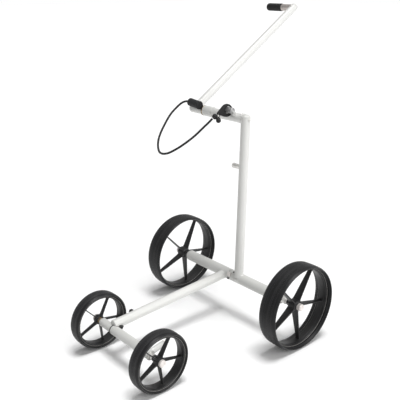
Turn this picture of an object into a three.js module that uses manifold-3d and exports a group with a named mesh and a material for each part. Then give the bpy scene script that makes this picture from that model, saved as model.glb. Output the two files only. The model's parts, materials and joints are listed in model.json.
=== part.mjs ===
// Four-wheel golf push trolley that folds about three lateral tube joints.
// Millimetres. +X is the trolley's right, -Y is its front, +Z is up.
// The parts are drawn with the origin on the ground under the rear axle's centre.
// The whole group is then moved so that the origin is the bottom centre of its box.
import * as THREE from "three";
import { mergeVertices } from "three/addons/utils/BufferGeometryUtils.js";
import Module from "manifold-3d";

const wasm = await Module();
wasm.setup();

// ---------------------------------------------------------------- driving dimensions
// A name ending in _D is a diameter and one ending in _R is a radius.
const TUBE_SIDES = 20; // facets round a tube
const WALL = 2; // tube wall
const GAP = 0.3; // clearance between neighbouring pieces

const REAR_R = 150; // wheels
const REAR_HALF_TRACK = 303.5; // centre plane to the rear wheels' mid-planes
const FRONT_R = 99.8;
const FRONT_X_RIGHT = 202.2; // front wheels' mid-planes
const FRONT_X_LEFT = -131.8;
const WHEELBASE = 508.7;

const REAR_AXLE_D = 40;
const REAR_SPLIT_X = -16; // where the turning left half meets the fixed right half
const REAR_LEFT_END_X = -252;
const REAR_RIGHT_END_X = 230;

const POST_D = 33;
const POST_X = 28;
const POST_TOP_Z = 752;
const POST_LEAN = 1.6; // degrees, backward

const ARM_D = 32.5; // lateral arm at the top of the post
const ARM_Y = 12.4;
const ARM_Z = 743;
const ARM_END_X = -160; // seam between the fixed arm and the turning barrel
const BARREL_D = 31;
const BARREL_END_X = -258;
const HANDLE_X = -235;
const HANDLE_D = 30;
const HANDLE_RISE = 33.42; // degrees above the horizontal
const HANDLE_LENGTH = 626;

const BEAM_D = 33; // tube from the rear axle to the front axle
const BEAM_X = -46.5;
const BEAM_REAR = { y: 0, z: 146.2 }; // the ends of the beam's axis
const BEAM_FRONT = { y: -512, z: 114.6 };

const FRONT_TUBE_D = 32; // right half of the front axle, which swivels
const FRONT_STUB_D = 29; // left half of the front axle
const FRONT_SPLIT_X = -44;
const FRONT_RIGHT_END_X = 161;
const FRONT_LEFT_END_X = -109;

// ---------------------------------------------------------------- finishes
const finishes = {
  powder: { color: 0xe9e9e4, roughness: 0.45, metalness: 0.1 },
  tyre: { color: 0x17171a, roughness: 0.75, metalness: 0 },
  moulded: { color: 0x1b1b1c, roughness: 0.5, metalness: 0 },
  steel: { color: 0xb9b8b4, roughness: 0.35, metalness: 0.9 },
  knob: { color: 0xd9d4cd, roughness: 0.35, metalness: 0.7 },
  grip: { color: 0x121211, roughness: 0.8, metalness: 0 },
  cord: { color: 0x161617, roughness: 0.85, metalness: 0 },
  rubber: { color: 0x1d1d1e, roughness: 0.7, metalness: 0 },
  bronze: { color: 0x9c8a68, roughness: 0.5, metalness: 0.6 },
};

// ---------------------------------------------------------------- solids
const rad = THREE.MathUtils.degToRad;

// Leaves only positions, merges shared corners and turns the faces outward.
function tidy(geometry) {
  const bare = geometry.clone();
  for (const name of Object.keys(bare.attributes)) {
    if (name !== "position") bare.deleteAttribute(name);
  }
  const merged = mergeVertices(bare, 1e-4);
  const corners = [0, 1, 2].map(() => new THREE.Vector3());
  const index = Array.from(merged.index.array);
  const kept = [];
  let volume = 0;
  for (let i = 0; i < index.length; i += 3) {
    const face = index.slice(i, i + 3);
    if (new Set(face).size < 3) continue;
    kept.push(...face);
    face.forEach((v, k) => corners[k].fromBufferAttribute(merged.attributes.position, v));
    volume += corners[0].dot(corners[1].cross(corners[2]));
  }
  if (volume < 0) {
    for (let i = 0; i < kept.length; i += 3) {
      [kept[i + 1], kept[i + 2]] = [kept[i + 2], kept[i + 1]];
    }
  }
  merged.setIndex(kept);
  return merged;
}

function solidOf(geometry) {
  const tidied = tidy(geometry);
  return new wasm.Manifold(new wasm.Mesh({
    numProp: 3,
    vertProperties: new Float32Array(tidied.attributes.position.array),
    triVerts: new Uint32Array(tidied.index.array),
  }));
}

function geometryOf(solid) {
  const mesh = solid.getMesh();
  const geometry = new THREE.BufferGeometry();
  const positions = new Float32Array(mesh.vertProperties);
  geometry.setAttribute("position", new THREE.BufferAttribute(positions, 3));
  geometry.setIndex(Array.from(mesh.triVerts));
  return geometry;
}

const cut = (geometry, ...tools) =>
  geometryOf(tools.reduce((solid, tool) => solid.subtract(solidOf(tool)), solidOf(geometry)));
const join = (geometry, ...more) =>
  geometryOf(more.reduce((solid, part) => solid.add(solidOf(part)), solidOf(geometry)));

// A turned shape about the X axis from [radius, x] points. A profile that
// doesn't start on the axis is closed on itself.
function turned(points, sides = TUBE_SIDES, phase = 0) {
  const profile = points.map(([radius, x]) => new THREE.Vector2(radius, x));
  if (points[0][0] > 0) profile.push(profile[0].clone());
  return tidy(new THREE.LatheGeometry(profile, sides).rotateZ(-Math.PI / 2).rotateX(phase));
}

function rodX(d, x0, x1, { sides = TUBE_SIDES, chamfer = 0 } = {}) {
  const r = d / 2;
  const edge = chamfer
    ? [[r - chamfer, x0], [r, x0 + chamfer], [r, x1 - chamfer], [r - chamfer, x1]]
    : [[r, x0], [r, x1]];
  return turned([[0, x0], ...edge, [0, x1]], sides);
}
const pipeX = (d, x0, x1, wall = WALL) =>
  turned([[d / 2 - wall, x0], [d / 2, x0], [d / 2, x1], [d / 2 - wall, x1]]);
// Cutting rod that leaves the clearance round a tube of diameter d.
const clearRod = (d, x0, x1) => rodX(d + 2 * GAP, x0, x1);

// Radius that turns freely inside a faceted tube.
const insideR = (tubeD) => (tubeD / 2 - WALL) * Math.cos(Math.PI / TUBE_SIDES) - 0.35;

// Profile for a side: +1 keeps it and -1 mirrors it to the left.
const sided = (side, points) => points.map(([radius, x]) => [radius, side * x]);

// Turns a shape drawn along +X so that it runs along the direction (0, cos a, sin a).
const alongYZ = (geometry, degrees) => geometry.rotateZ(Math.PI / 2).rotateX(rad(degrees));

const root = new THREE.Group();
const trolley = new THREE.Group();
root.add(trolley);

function piece(name, geometry, finish, parent = trolley) {
  const mesh = new THREE.Mesh(geometry, new THREE.MeshStandardMaterial(finishes[finish]));
  mesh.name = name;
  parent.add(mesh);
}

function groupAt(x, y, z, parent = trolley) {
  const group = new THREE.Group();
  group.position.set(x, y, z);
  parent.add(group);
  return group;
}

// ---------------------------------------------------------------- rear axle
// Two tubes of one size end to end. The right one carries the post. The left
// one carries the beam and turns on a shaft inside both.
const rearAxle = groupAt(0, 0, REAR_R);
for (const [half, x0, x1] of [
  ["right", REAR_SPLIT_X + 1, REAR_RIGHT_END_X],
  ["left", REAR_LEFT_END_X, REAR_SPLIT_X - 1],
]) {
  piece(`rear_axle_${half}_tube`, pipeX(REAR_AXLE_D, x0, x1), "powder", rearAxle);
}
{
  const shaftR = insideR(REAR_AXLE_D);
  const collarR = REAR_AXLE_D / 2 - WALL + 0.6; // thin collar between the tubes' ends
  piece("rear_pivot_shaft", turned([
    [shaftR - 3, -60], [shaftR, -60],
    [shaftR, REAR_SPLIT_X - 0.6], [collarR, REAR_SPLIT_X - 0.6],
    [collarR, REAR_SPLIT_X + 0.6], [shaftR, REAR_SPLIT_X + 0.6],
    [shaftR, 62], [shaftR - 3, 62],
  ]), "rubber", rearAxle);
}

// Fold lock on the front of the axle, beside the seam: a housing with its pin.
const LOCK_TILT = 18; // degrees up from the front
const LOCK_Y = -23.6;
const LOCK_PIN_Z = 7;
const LOCK_PIN_D = 4.6;
const lockSeat = groupAt(0, 0, REAR_R);
lockSeat.rotation.x = -rad(LOCK_TILT);
{
  const block = new THREE.BoxGeometry(13, 9, 15).translate(-6.5, LOCK_Y, 5);
  const axle = rodX(REAR_AXLE_D + 1.2, -60, 60);
  const pinHole = rodX(LOCK_PIN_D + 0.8, -30, 30, { sides: 16 }).translate(0, LOCK_Y, LOCK_PIN_Z);
  piece("fold_lock_housing", cut(block, axle, pinHole), "knob", lockSeat);
  const pin = rodX(LOCK_PIN_D, -14.4, 5, { sides: 16, chamfer: 0.6 });
  piece("fold_lock_pin", pin.translate(0, LOCK_Y, LOCK_PIN_Z), "steel", lockSeat);
}

// Round head on the axle's surface, at an angle down from the front.
function headOnAxle({ d, height, degreesDown, x }) {
  const seatR = REAR_AXLE_D / 2 + 0.4;
  return rodX(d, seatR, seatR + height, { sides: 18, chamfer: 0.7 })
    .rotateZ(-Math.PI / 2).rotateX(rad(degreesDown)).translate(x, 0, 0);
}
const lockScrew = headOnAxle({ d: 7.5, height: 3.4, degreesDown: 19, x: -12 });
piece("fold_lock_screw", lockScrew, "rubber", rearAxle);
// The rivet holds the pivot shaft in the fixed half.
const pivotRivet = headOnAxle({ d: 6, height: 1.6, degreesDown: -69, x: 4.6 });
piece("pivot_rivet", pivotRivet, "rubber", rearAxle);

// ---------------------------------------------------------------- post and arm
const postY = (z) => ARM_Y + (z - ARM_Z) * Math.tan(rad(POST_LEAN));
const postLength = (POST_TOP_Z - REAR_R) / Math.cos(rad(POST_LEAN));
// Turned along +X, then stood up on the rear axle and leaned back.
const standUp = (geometry) => geometry.rotateY(-Math.PI / 2).rotateX(-rad(POST_LEAN))
  .translate(POST_X, postY(REAR_R), REAR_R);
const onArm = (geometry) => geometry.translate(0, ARM_Y, ARM_Z);
const postCut = () => standUp(clearRod(POST_D, -30, postLength + 30));
{
  const tube = standUp(pipeX(POST_D, 4, postLength - 2));
  const axleCut = clearRod(REAR_AXLE_D, -200, 200).translate(0, 0, REAR_R);
  const screwHole = onArm(rodX(5, POST_X, POST_X + 30, { sides: 12 }));
  piece("upright_post", cut(tube, axleCut, screwHole), "powder");
}
{
  const outerR = POST_D / 2;
  const plugR = outerR - WALL - 0.6;
  piece("post_cap", standUp(turned([
    [0, postLength - 5], [plugR, postLength - 5],
    [plugR, postLength - 1.6], [outerR, postLength - 1.6],
    [outerR, postLength + 0.5], [outerR - 2.4, postLength + 4],
    [outerR - 8, postLength + 7], [0, postLength + 7.8],
  ])), "powder");
}
piece("cross_arm", cut(onArm(pipeX(ARM_D, ARM_END_X, POST_X)), postCut()), "powder");

// Collar over the seam between the arm and the barrel.
{
  const [x0, x1] = [-183, -133];
  const outerR = 18.8;
  const boreR = ARM_D / 2 + 0.35;
  const chamfer = 0.9;
  piece("arm_collar", onArm(turned([
    [boreR, x0], [outerR - chamfer, x0], [outerR, x0 + chamfer],
    [outerR, x1 - chamfer], [outerR - chamfer, x1], [boreR, x1],
  ])), "powder");
}
// Screw from the post's right side into the arm's end.
{
  const faceX = POST_X + POST_D / 2;
  piece("arm_screw", onArm(turned([
    [0, faceX - 7], [2.2, faceX - 7], [2.2, faceX + GAP], [5, faceX + GAP],
    [5, faceX + 1.6], [3.6, faceX + 2.8], [0, faceX + 3.1],
  ], 18)), "steel");
}

// ---------------------------------------------------------------- bag peg
// Points left from the post.
const PEG_Z = 572;
const peg = turned([
  [0, -24], [8, -24], [9.3, -22.6], [9.3, -19], [8.6, -18], [8.6, -1],
  [8.6, POST_X - 8], [0, POST_X - 8],
]);
piece("bag_peg", cut(peg.translate(0, postY(PEG_Z), PEG_Z), postCut()), "steel");

// ---------------------------------------------------------------- handle
const joint = groupAt(0, ARM_Y, ARM_Z);
const alongHandle = (geometry) => alongYZ(geometry, HANDLE_RISE).translate(HANDLE_X, 0, 0);
{
  const shaftR = insideR(BARREL_D);
  const collarR = BARREL_D / 2 - 1.2; // thin collar between the barrel and the arm
  piece("upper_pivot_shaft", turned([
    [shaftR - 2.5, -224], [shaftR, -224],
    [shaftR, ARM_END_X - 1.4], [collarR, ARM_END_X - 1.4],
    [collarR, ARM_END_X - 0.4], [shaftR, ARM_END_X - 0.4],
    [shaftR, -120], [shaftR - 2.5, -120],
  ]), "bronze", joint);
}
// Barrel with a closed, rounded left end.
{
  const outerR = BARREL_D / 2;
  const openX = ARM_END_X - 1.8;
  piece("handle_barrel", turned([
    [0, BARREL_END_X], [outerR - 7, BARREL_END_X + 0.5],
    [outerR - 2.4, BARREL_END_X + 2.6], [outerR, BARREL_END_X + 7],
    [outerR, openX], [outerR - WALL, openX],
    [outerR - WALL, BARREL_END_X + 6], [0, BARREL_END_X + 4],
  ]), "powder", joint);
}
const handlePipe = alongHandle(pipeX(HANDLE_D, 5, HANDLE_LENGTH));
piece("handle_tube", cut(handlePipe, clearRod(BARREL_D, -300, -150)), "powder", joint);
{
  const outerR = HANDLE_D / 2;
  const plugR = outerR - WALL - 0.6;
  const end = HANDLE_LENGTH;
  piece("handle_cap", alongHandle(turned([
    [0, end - 14], [plugR, end - 14], [plugR, end + 0.4], [outerR, end + 0.4],
    [outerR - 0.8, end + 5], [outerR - 4, end + 10], [outerR - 9, end + 13], [0, end + 14],
  ])), "powder", joint);
}

// Grip that points left from the handle's top end: a steel collar against the
// tube, with a neck that enters the rubber grip.
const GRIP_D = 30.5;
const GRIP_END_X = -373;
const GRIP_START_X = -294.6;
const GRIP_NECK_R = 6.5;
const gripReach = HANDLE_LENGTH - 2; // along the handle
const onGripAxis = (geometry) => geometry.translate(
  0,
  gripReach * Math.cos(rad(HANDLE_RISE)),
  gripReach * Math.sin(rad(HANDLE_RISE)) - 0.5,
);
{
  const collar = onGripAxis(turned([
    [0, GRIP_START_X - 20], [GRIP_NECK_R, GRIP_START_X - 20],
    [GRIP_NECK_R, GRIP_START_X + 0.6], [12.4, GRIP_START_X + 0.6],
    [13.4, GRIP_START_X + 1.6], [13.4, HANDLE_X], [0, HANDLE_X],
  ]));
  const handleCut = alongHandle(clearRod(HANDLE_D, 100, HANDLE_LENGTH + 60));
  piece("grip_collar", cut(collar, handleCut), "steel", joint);
}
{
  const outerR = GRIP_D / 2;
  const body = onGripAxis(turned([
    [0, GRIP_END_X], [outerR - 5, GRIP_END_X + 0.4],
    [outerR - 1.4, GRIP_END_X + 2.4], [outerR, GRIP_END_X + 6],
    [outerR, GRIP_START_X - 1.2], [outerR - 1.2, GRIP_START_X], [0, GRIP_START_X],
  ]));
  const neckHole = onGripAxis(rodX(2 * GRIP_NECK_R + 0.8, GRIP_START_X - 22, GRIP_START_X + 10));
  piece("grip", cut(body, neckHole), "grip", joint);
}
// Bolt head on the handle's upper side.
const gripBolt = turned([[0, 15.4], [5, 15.4], [5, 17.6], [3.8, 19.2], [0, 19.6]], 18)
  .rotateY(-Math.PI / 2).translate(HANDLE_LENGTH - 9, 0, 0);
piece("grip_bolt", alongHandle(gripBolt), "steel", joint);

// ---------------------------------------------------------------- cord sleeve
// The rubber sleeve turns with the handle: it sits on the barrel in a small saddle.
// Its right end sits lower and closer to the barrel's axis than its left end.
const SLEEVE_D = 29;
const SLEEVE_OFFSET = 32; // between the axes of barrel and sleeve at the left end
const SLEEVE_ANGLE = 54; // degrees up from the front, at the left end
{
  const outerR = SLEEVE_D / 2;
  const leftEnd = new THREE.Vector3(
    -246,
    -SLEEVE_OFFSET * Math.cos(rad(SLEEVE_ANGLE)),
    SLEEVE_OFFSET * Math.sin(rad(SLEEVE_ANGLE)),
  );
  const along = new THREE.Vector3(-185, -22.3, 20.8).sub(leftEnd);
  const length = along.length();
  const tilt = new THREE.Quaternion()
    .setFromUnitVectors(new THREE.Vector3(1, 0, 0), along.normalize());
  const placement = new THREE.Matrix4().compose(leftEnd, tilt, new THREE.Vector3(1, 1, 1));
  piece("cord_sleeve", turned([
    [0, 0], [outerR - 4, 0], [outerR - 1.2, 0.9], [outerR, 3.5],
    [outerR, length - 3.5], [outerR - 1.2, length - 0.9], [outerR - 4, length], [0, length],
  ]).applyMatrix4(placement), "rubber", joint);

  const block = new THREE.BoxGeometry(24, 7, 18)
    .translate(-203, -16.5, 0).rotateX(-rad(SLEEVE_ANGLE));
  const sleeveCut = clearRod(SLEEVE_D, -20, 90).applyMatrix4(placement);
  const saddle = cut(block, clearRod(BARREL_D, -260, -150), sleeveCut);
  piece("sleeve_saddle", saddle, "rubber", joint);
}

// ---------------------------------------------------------------- hitch hook and cord eye
// The hook is a lug that stands on the arm and a lateral pin that points left.
const PIN_D = 21;
const PIN_Y = -13;
const PIN_Z = 770;
{
  const rise = PIN_Z - ARM_Z;
  const forward = ARM_Y - PIN_Y;
  const lug = onArm(rodX(14, ARM_D / 2 - 3, Math.hypot(forward, rise) + 1)
    .rotateY(-Math.PI / 2).rotateX(Math.atan2(forward, rise)).translate(-15.4, 0, 0));
  const pin = rodX(PIN_D, -58, -8.4, { sides: 24, chamfer: 1.4 }).translate(0, PIN_Y, PIN_Z);
  piece("hitch_hook", cut(join(lug, pin), onArm(clearRod(ARM_D, -100, 0))), "steel");
}
// The cord's eye: a flat rubber ring with a tapering tail, hung on the pin.
// It is drawn with the hole's centre at the origin and the tail along +x.
{
  const ringR = 22.8;
  const ringShift = 5.5; // the outer circle's centre, from the hole's
  const tipR = 4.6;
  const tailLength = 32; // from the outer circle's centre to the rounded tip's
  const thickness = 7;
  const ringSteps = 22;
  const tipSteps = 4;
  const tangent = Math.acos((ringR - tipR) / tailLength); // where the straight sides start
  const outline = [];
  const addArc = (centreX, radius, start, sweep, steps) => {
    for (let i = 0; i <= steps; i++) {
      const angle = start + (sweep * i) / steps;
      const x = centreX + radius * Math.cos(angle);
      outline.push(new THREE.Vector2(x, radius * Math.sin(angle)));
    }
  };
  addArc(ringShift, ringR, tangent, 2 * Math.PI - 2 * tangent, ringSteps);
  addArc(ringShift + tailLength, tipR, -tangent, 2 * tangent, tipSteps);
  const eye = new THREE.Shape(outline);
  eye.holes.push(new THREE.Path().absarc(0, 0, PIN_D / 2 + 1.95, 0, 2 * Math.PI, false));

  const tail = new THREE.Vector3(-0.3, -0.922, -0.245).normalize();
  const normal = new THREE.Vector3(0.951, -0.309, 0); // made square to the tail below
  normal.addScaledVector(tail, -normal.dot(tail)).normalize();
  const placement = new THREE.Matrix4()
    .makeBasis(tail, normal.clone().cross(tail), normal)
    .setPosition(-34, PIN_Y, PIN_Z);
  const options = { depth: thickness, bevelEnabled: false, curveSegments: 20 };
  const plate = new THREE.ExtrudeGeometry(eye, options).translate(0, 0, -thickness / 2);
  piece("cord_eye", tidy(plate.applyMatrix4(placement)), "rubber");
}

// ---------------------------------------------------------------- elastic cord
// Out of the sleeve's left end, forward and down round where the bag stands,
// and back up to the eye. Points [x, y, z] on the cord's axis.
const CORD_D = 8;
const CORD_SIDES = 7;
const cordPath = [
  [-247.0, -6.4, 768.9], [-256, -6.7, 768.9], [-266, -7.5, 767.4],
  [-277.5, -9.4, 763.6], [-287, -13.8, 757.4], [-293.2, -23.5, 747.6],
  [-297.0, -40.5, 733.3], [-296.1, -55.5, 721.9], [-291.0, -72.9, 708.9],
  [-282.5, -92.1, 695.0], [-265.3, -125.4, 671.1], [-243.9, -154.1, 651.2],
  [-215.4, -179.0, 635.3], [-184.6, -197.5, 624.6], [-167.8, -202.4, 622.6],
  [-150.8, -203.4, 624.2], [-130.6, -198.7, 630.3], [-106.1, -181.2, 647.0],
  [-85.7, -157.2, 668.3], [-70.2, -129.2, 692.1], [-61.9, -98.5, 717.0],
  [-57.2, -79.5, 732.0], [-53.3, -68.4, 742.0],
];
{
  const points = cordPath.map((point) => new THREE.Vector3(...point));
  const extrudePath = new THREE.CatmullRomCurve3(points, false, "centripetal");
  const section = new THREE.Shape(Array.from({ length: CORD_SIDES }, (_, i) => {
    const angle = (i * 2 * Math.PI) / CORD_SIDES;
    return new THREE.Vector2((CORD_D / 2) * Math.cos(angle), (CORD_D / 2) * Math.sin(angle));
  }));
  const options = { steps: 34, extrudePath, bevelEnabled: false, curveSegments: 1 };
  piece("elastic_cord", tidy(new THREE.ExtrudeGeometry(section, options)), "cord");
}
// Ball and toggle where the cord meets the eye's tail.
const ball = new THREE.SphereGeometry(9.2, 12, 8).translate(-47, -60.5, 751);
piece("cord_ball", tidy(ball), "rubber");
const toggle = rodX(16.8, -8, 8, { sides: 18, chamfer: 3.4 })
  .rotateZ(rad(-35)).rotateY(rad(25)).translate(-31.8, -58.5, 740.4);
piece("cord_toggle", toggle, "rubber");

// ---------------------------------------------------------------- beam to the front axle
const beamRun = BEAM_REAR.y - BEAM_FRONT.y;
const beamDrop = BEAM_REAR.z - BEAM_FRONT.z;
const beamAngle = Math.atan2(beamDrop, beamRun);
const beamLength = Math.hypot(beamDrop, beamRun);
const beamGroup = groupAt(BEAM_X, BEAM_REAR.y, BEAM_REAR.z);
// +X of the turned shape becomes forward and down from the rear axle.
const alongBeam = (geometry) => geometry.rotateZ(-Math.PI / 2).rotateX(beamAngle);
{
  const frontZ = FRONT_R - BEAM_REAR.z;
  const tube = alongBeam(pipeX(BEAM_D, 6, beamLength - 3));
  const rearCut = clearRod(REAR_AXLE_D, -150, 150).translate(-BEAM_X, 0, REAR_R - BEAM_REAR.z);
  const frontCut = rodX(FRONT_TUBE_D + 3.4, -150, 150).translate(-BEAM_X, -WHEELBASE, frontZ);
  // Nothing of the beam stands in front of the front axle's centre line.
  const noseCut = new THREE.BoxGeometry(60, 60, 80).translate(0, -WHEELBASE - 30, frontZ);
  piece("beam_tube", cut(tube, rearCut, frontCut, noseCut), "powder", beamGroup);
}
// Rubber stop on the beam's left side, tilted upward.
const STOP_REACH = 424; // along the beam
const STOP_TILT = 28; // degrees
{
  const stop = turned([
    [0, -3], [8.5, -3], [8.5, 2.5], [6.6, 5.6], [3.6, 7.2], [0, 7.6],
  ]).rotateZ(Math.PI).translate(-BEAM_D / 2 - 1.5, 0, 0).rotateY(rad(STOP_TILT))
    .translate(0, -STOP_REACH * Math.cos(beamAngle), -STOP_REACH * Math.sin(beamAngle));
  piece("beam_stop", cut(stop, alongBeam(clearRod(BEAM_D, 300, 500))), "rubber", beamGroup);
}

// ---------------------------------------------------------------- front axle
const frontAxle = groupAt(0, -WHEELBASE, FRONT_R);
const frontLeftPipe = pipeX(FRONT_STUB_D, FRONT_LEFT_END_X, FRONT_SPLIT_X - 1.8);
piece("front_axle_left_tube", frontLeftPipe, "powder", frontAxle);
const frontRightPipe = pipeX(FRONT_TUBE_D, FRONT_SPLIT_X + 1.8, FRONT_RIGHT_END_X);
piece("front_axle_right_tube", frontRightPipe, "powder", frontAxle);
{
  const innerR = FRONT_STUB_D / 2 - 2;
  const outerR = FRONT_TUBE_D / 2 + 0.4;
  piece("front_seal_ring", turned([
    [innerR, FRONT_SPLIT_X - 1.2], [outerR, FRONT_SPLIT_X - 1.2],
    [outerR + 0.5, FRONT_SPLIT_X],
    [outerR, FRONT_SPLIT_X + 1.2], [innerR, FRONT_SPLIT_X + 1.2],
  ]), "rubber", frontAxle);
}
{
  const shaftR = insideR(FRONT_STUB_D);
  piece("front_pivot_shaft", turned([
    [shaftR - 2.5, -84], [shaftR, -84], [shaftR, FRONT_SPLIT_X + 20],
    [shaftR, 30], [shaftR - 2.5, 30],
  ]), "steel", frontAxle);
}
// Rubber wedge that fills the corner between the beam's right side and the axle.
{
  // [backward, up] corners of its section
  const section = [[0, 0], [13, 9], [1, 13], [-2, 6]].map((p) => new THREE.Vector2(...p));
  const options = { depth: 10, bevelEnabled: false };
  const wedge = new THREE.ExtrudeGeometry(new THREE.Shape(section), options);
  // The section's x is Y, its y is Z and its depth is X.
  wedge.applyMatrix4(new THREE.Matrix4().set(
    0, 0, 1, -36,
    1, 0, 0, 14,
    0, 1, 0, 4,
    0, 0, 0, 1,
  ));
  const beamCut = alongBeam(clearRod(BEAM_D, 300, 600))
    .translate(BEAM_X, BEAM_REAR.y + WHEELBASE, BEAM_REAR.z - FRONT_R);
  const axleCut = clearRod(FRONT_TUBE_D + 0.4, -150, 150);
  piece("beam_wedge", cut(wedge, beamCut, axleCut), "rubber", frontAxle);
}
// Bag support arm: stands back from the right half of the front axle.
const BAG_ARM_X = 147;
const BAG_ARM_D = 20;
const BAG_ARM_TILT = 11; // degrees above the horizontal
const BAG_ARM_WALL = 1.6;
const alongBagArm = (geometry) => alongYZ(geometry, BAG_ARM_TILT).translate(BAG_ARM_X, 0, 0);
const bagArm = alongBagArm(pipeX(BAG_ARM_D, 8, 62, BAG_ARM_WALL));
piece("bag_support_arm", cut(bagArm, clearRod(FRONT_TUBE_D, 60, 220)), "powder", frontAxle);
piece("bag_arm_cap", alongBagArm(turned([
  [0, 54], [7.6, 54], [7.6, 62.5], [10, 62.5], [10, 65], [8.6, 66.6], [0, 66.6],
])), "knob", frontAxle);

// ---------------------------------------------------------------- stub axles
// side is +1 on the right and -1 on the left. tubeEnd, hubIn and hubOut are
// distances along the outboard direction. A stub is a plug in the tube, a
// slotted flange, a shaft through the wheel and, where bossR is given, a boss.
function stubAxle(name, parent, side, o) {
  const plugR = insideR(o.tubeD) + 0.05;
  const flangeEnd = o.tubeEnd + o.flangeLength;
  const boss = [
    [9.6, flangeEnd], [9.6, flangeEnd + 1.8],
    [o.bossR, flangeEnd + 2.4], [o.bossR, o.hubIn - 18.5], [9, o.hubIn - 18],
  ];
  const body = turned(sided(side, [
    [0, o.tubeEnd - 22], [plugR, o.tubeEnd - 22],
    [plugR, o.tubeEnd + 0.4], [o.flangeR, o.tubeEnd + 0.4],
    [o.flangeR, flangeEnd - 1.5], [o.flangeR - 1.2, flangeEnd],
    ...(o.bossR ? boss : [[9, flangeEnd]]),
    [9, o.hubIn - 12.5], [5.9, o.hubIn - 12.5],
    [5.9, o.hubOut + 3], [5, o.hubOut + 4.2], [0, o.hubOut + 4.2],
  ]), 18);
  // Two spanner slots in the flange's face.
  const slots = [1, -1].map((end) => new THREE.BoxGeometry(4, 3, 10)
    .translate(side * flangeEnd, end * (o.flangeR - 3.2), 0));
  piece(name, cut(body, ...slots), "steel", parent);
}

function lockNut(name, parent, side, hubIn) {
  piece(name, turned(sided(side, [
    [7.3, hubIn - 12], [10.5, hubIn - 12], [11.5, hubIn - 10.5],
    [11.5, hubIn - 3], [9.5, hubIn - 0.8], [7.3, hubIn - 0.8],
  ]), 6), "rubber", parent);
}

const rearStub = { tubeD: REAR_AXLE_D, hubIn: 277.5, hubOut: 311 };
const frontRightHubIn = FRONT_X_RIGHT - 13;
stubAxle("rear_right_stub_axle", rearAxle, 1, {
  ...rearStub, tubeEnd: REAR_RIGHT_END_X, flangeR: 18.4, flangeLength: 8, bossR: 12,
});
stubAxle("rear_left_stub_axle", rearAxle, -1, {
  ...rearStub, tubeEnd: -REAR_LEFT_END_X, flangeR: 14, flangeLength: 10,
});
stubAxle("front_right_stub_axle", frontAxle, 1, {
  tubeD: FRONT_TUBE_D, tubeEnd: FRONT_RIGHT_END_X, flangeR: 12, flangeLength: 7,
  hubIn: frontRightHubIn, hubOut: FRONT_X_RIGHT + 11,
});
stubAxle("front_left_stub_axle", frontAxle, -1, {
  tubeD: FRONT_STUB_D, tubeEnd: -FRONT_LEFT_END_X, flangeR: 11.4, flangeLength: 7,
  hubIn: -FRONT_X_LEFT - 6.4, hubOut: -FRONT_X_LEFT + 11,
});
lockNut("rear_right_lock_nut", rearAxle, 1, rearStub.hubIn);
lockNut("rear_left_lock_nut", rearAxle, -1, rearStub.hubIn);
lockNut("front_right_lock_nut", frontAxle, 1, frontRightHubIn);

// ---------------------------------------------------------------- wheels
// A wheel is drawn with its mid-plane at x = 0. Names ending in In and Out are
// distances inboard and outboard of it, except rimIn and rimOut, which are radii.
// root and tip are a spoke's ends at the hub and the rim.
const SPOKES = 5;
const SPOKE_START = 43; // degrees
const HUB_SIDES = 15;
const HUB_BORE_R = 9.5;

// Tyre sections as [radius, outboard] points.
const rearTyre = [
  [139, -19], [139.3, -24.5], [141.8, -32.6], [144.4, -36.4], [147.2, -32.6], [150, -23],
  [150, 23], [147.2, 32.6], [144.4, 36.4], [141.8, 32.6], [139.3, 24.5], [139, 19],
];
const frontTyre = [
  [88.5, -17], [89, -20], [92, -23], [95.2, -23.7], [99.8, -18.6],
  [99.8, 18.6], [95.2, 23.7], [92, 23], [89, 20], [88.5, 17],
];
const rearWheel = {
  r: REAR_R, sides: 32, tyre: rearTyre, rimIn: 135.3, rimOut: 138.6, rimHalfWidth: 18,
  hubR: 20, hubIn: 26, hubOut: 8.5,
  spokeThick: 3.8, rootIn: 25, rootOut: 6, tipIn: 8.2, tipOut: 7.2,
  knobR: 12.5, knobLength: 15.5,
};
const frontWheel = {
  r: FRONT_R, sides: 28, tyre: frontTyre, rimIn: 83, rimOut: 88.1, rimHalfWidth: 16.5,
  hubR: 16.5, hubIn: 12.5, hubOut: 11.5,
  spokeThick: 3.4, rootIn: 14, rootOut: 7, tipIn: 5.5, tipOut: 7.6,
  knobR: 12.2, knobLength: 10.5,
};

// A thin plate, deep along the axle, that tapers from the hub to the rim.
function spoke(side, o, degrees) {
  const rootR = o.hubR * 0.7;
  const tipR = o.rimIn + 1.5;
  const corners = [[-o.rootIn, rootR], [o.rootOut, rootR], [o.tipOut, tipR], [-o.tipIn, tipR]];
  const shape = new THREE.Shape(corners.map(([x, r]) => new THREE.Vector2(side * x, r)));
  return new THREE.ExtrudeGeometry(shape, { depth: o.spokeThick, bevelEnabled: false })
    .translate(0, 0, -o.spokeThick / 2)
    .rotateX(rad(90 + degrees)); // 90 stands the drawn plate up along +Z
}

// Rim, tapered spokes and hub, moulded in one piece.
function wheelBody(side, o, phase) {
  const rim = turned(sided(side, [
    [o.rimIn, -o.rimHalfWidth], [o.rimOut, -o.rimHalfWidth],
    [o.rimOut, o.rimHalfWidth], [o.rimIn, o.rimHalfWidth],
  ]), o.sides, phase);
  const hub = turned(sided(side, [
    [HUB_BORE_R, -o.hubIn], [o.hubR * 0.72, -o.hubIn], [o.hubR, -o.hubIn + 3],
    [o.hubR, o.hubOut - 3], [o.hubR * 0.8, o.hubOut], [HUB_BORE_R, o.hubOut],
  ]), HUB_SIDES);
  const spokes = Array.from({ length: SPOKES }, (_, k) =>
    spoke(side, o, SPOKE_START + (360 / SPOKES) * k));
  return join(rim, hub, ...spokes);
}

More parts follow.
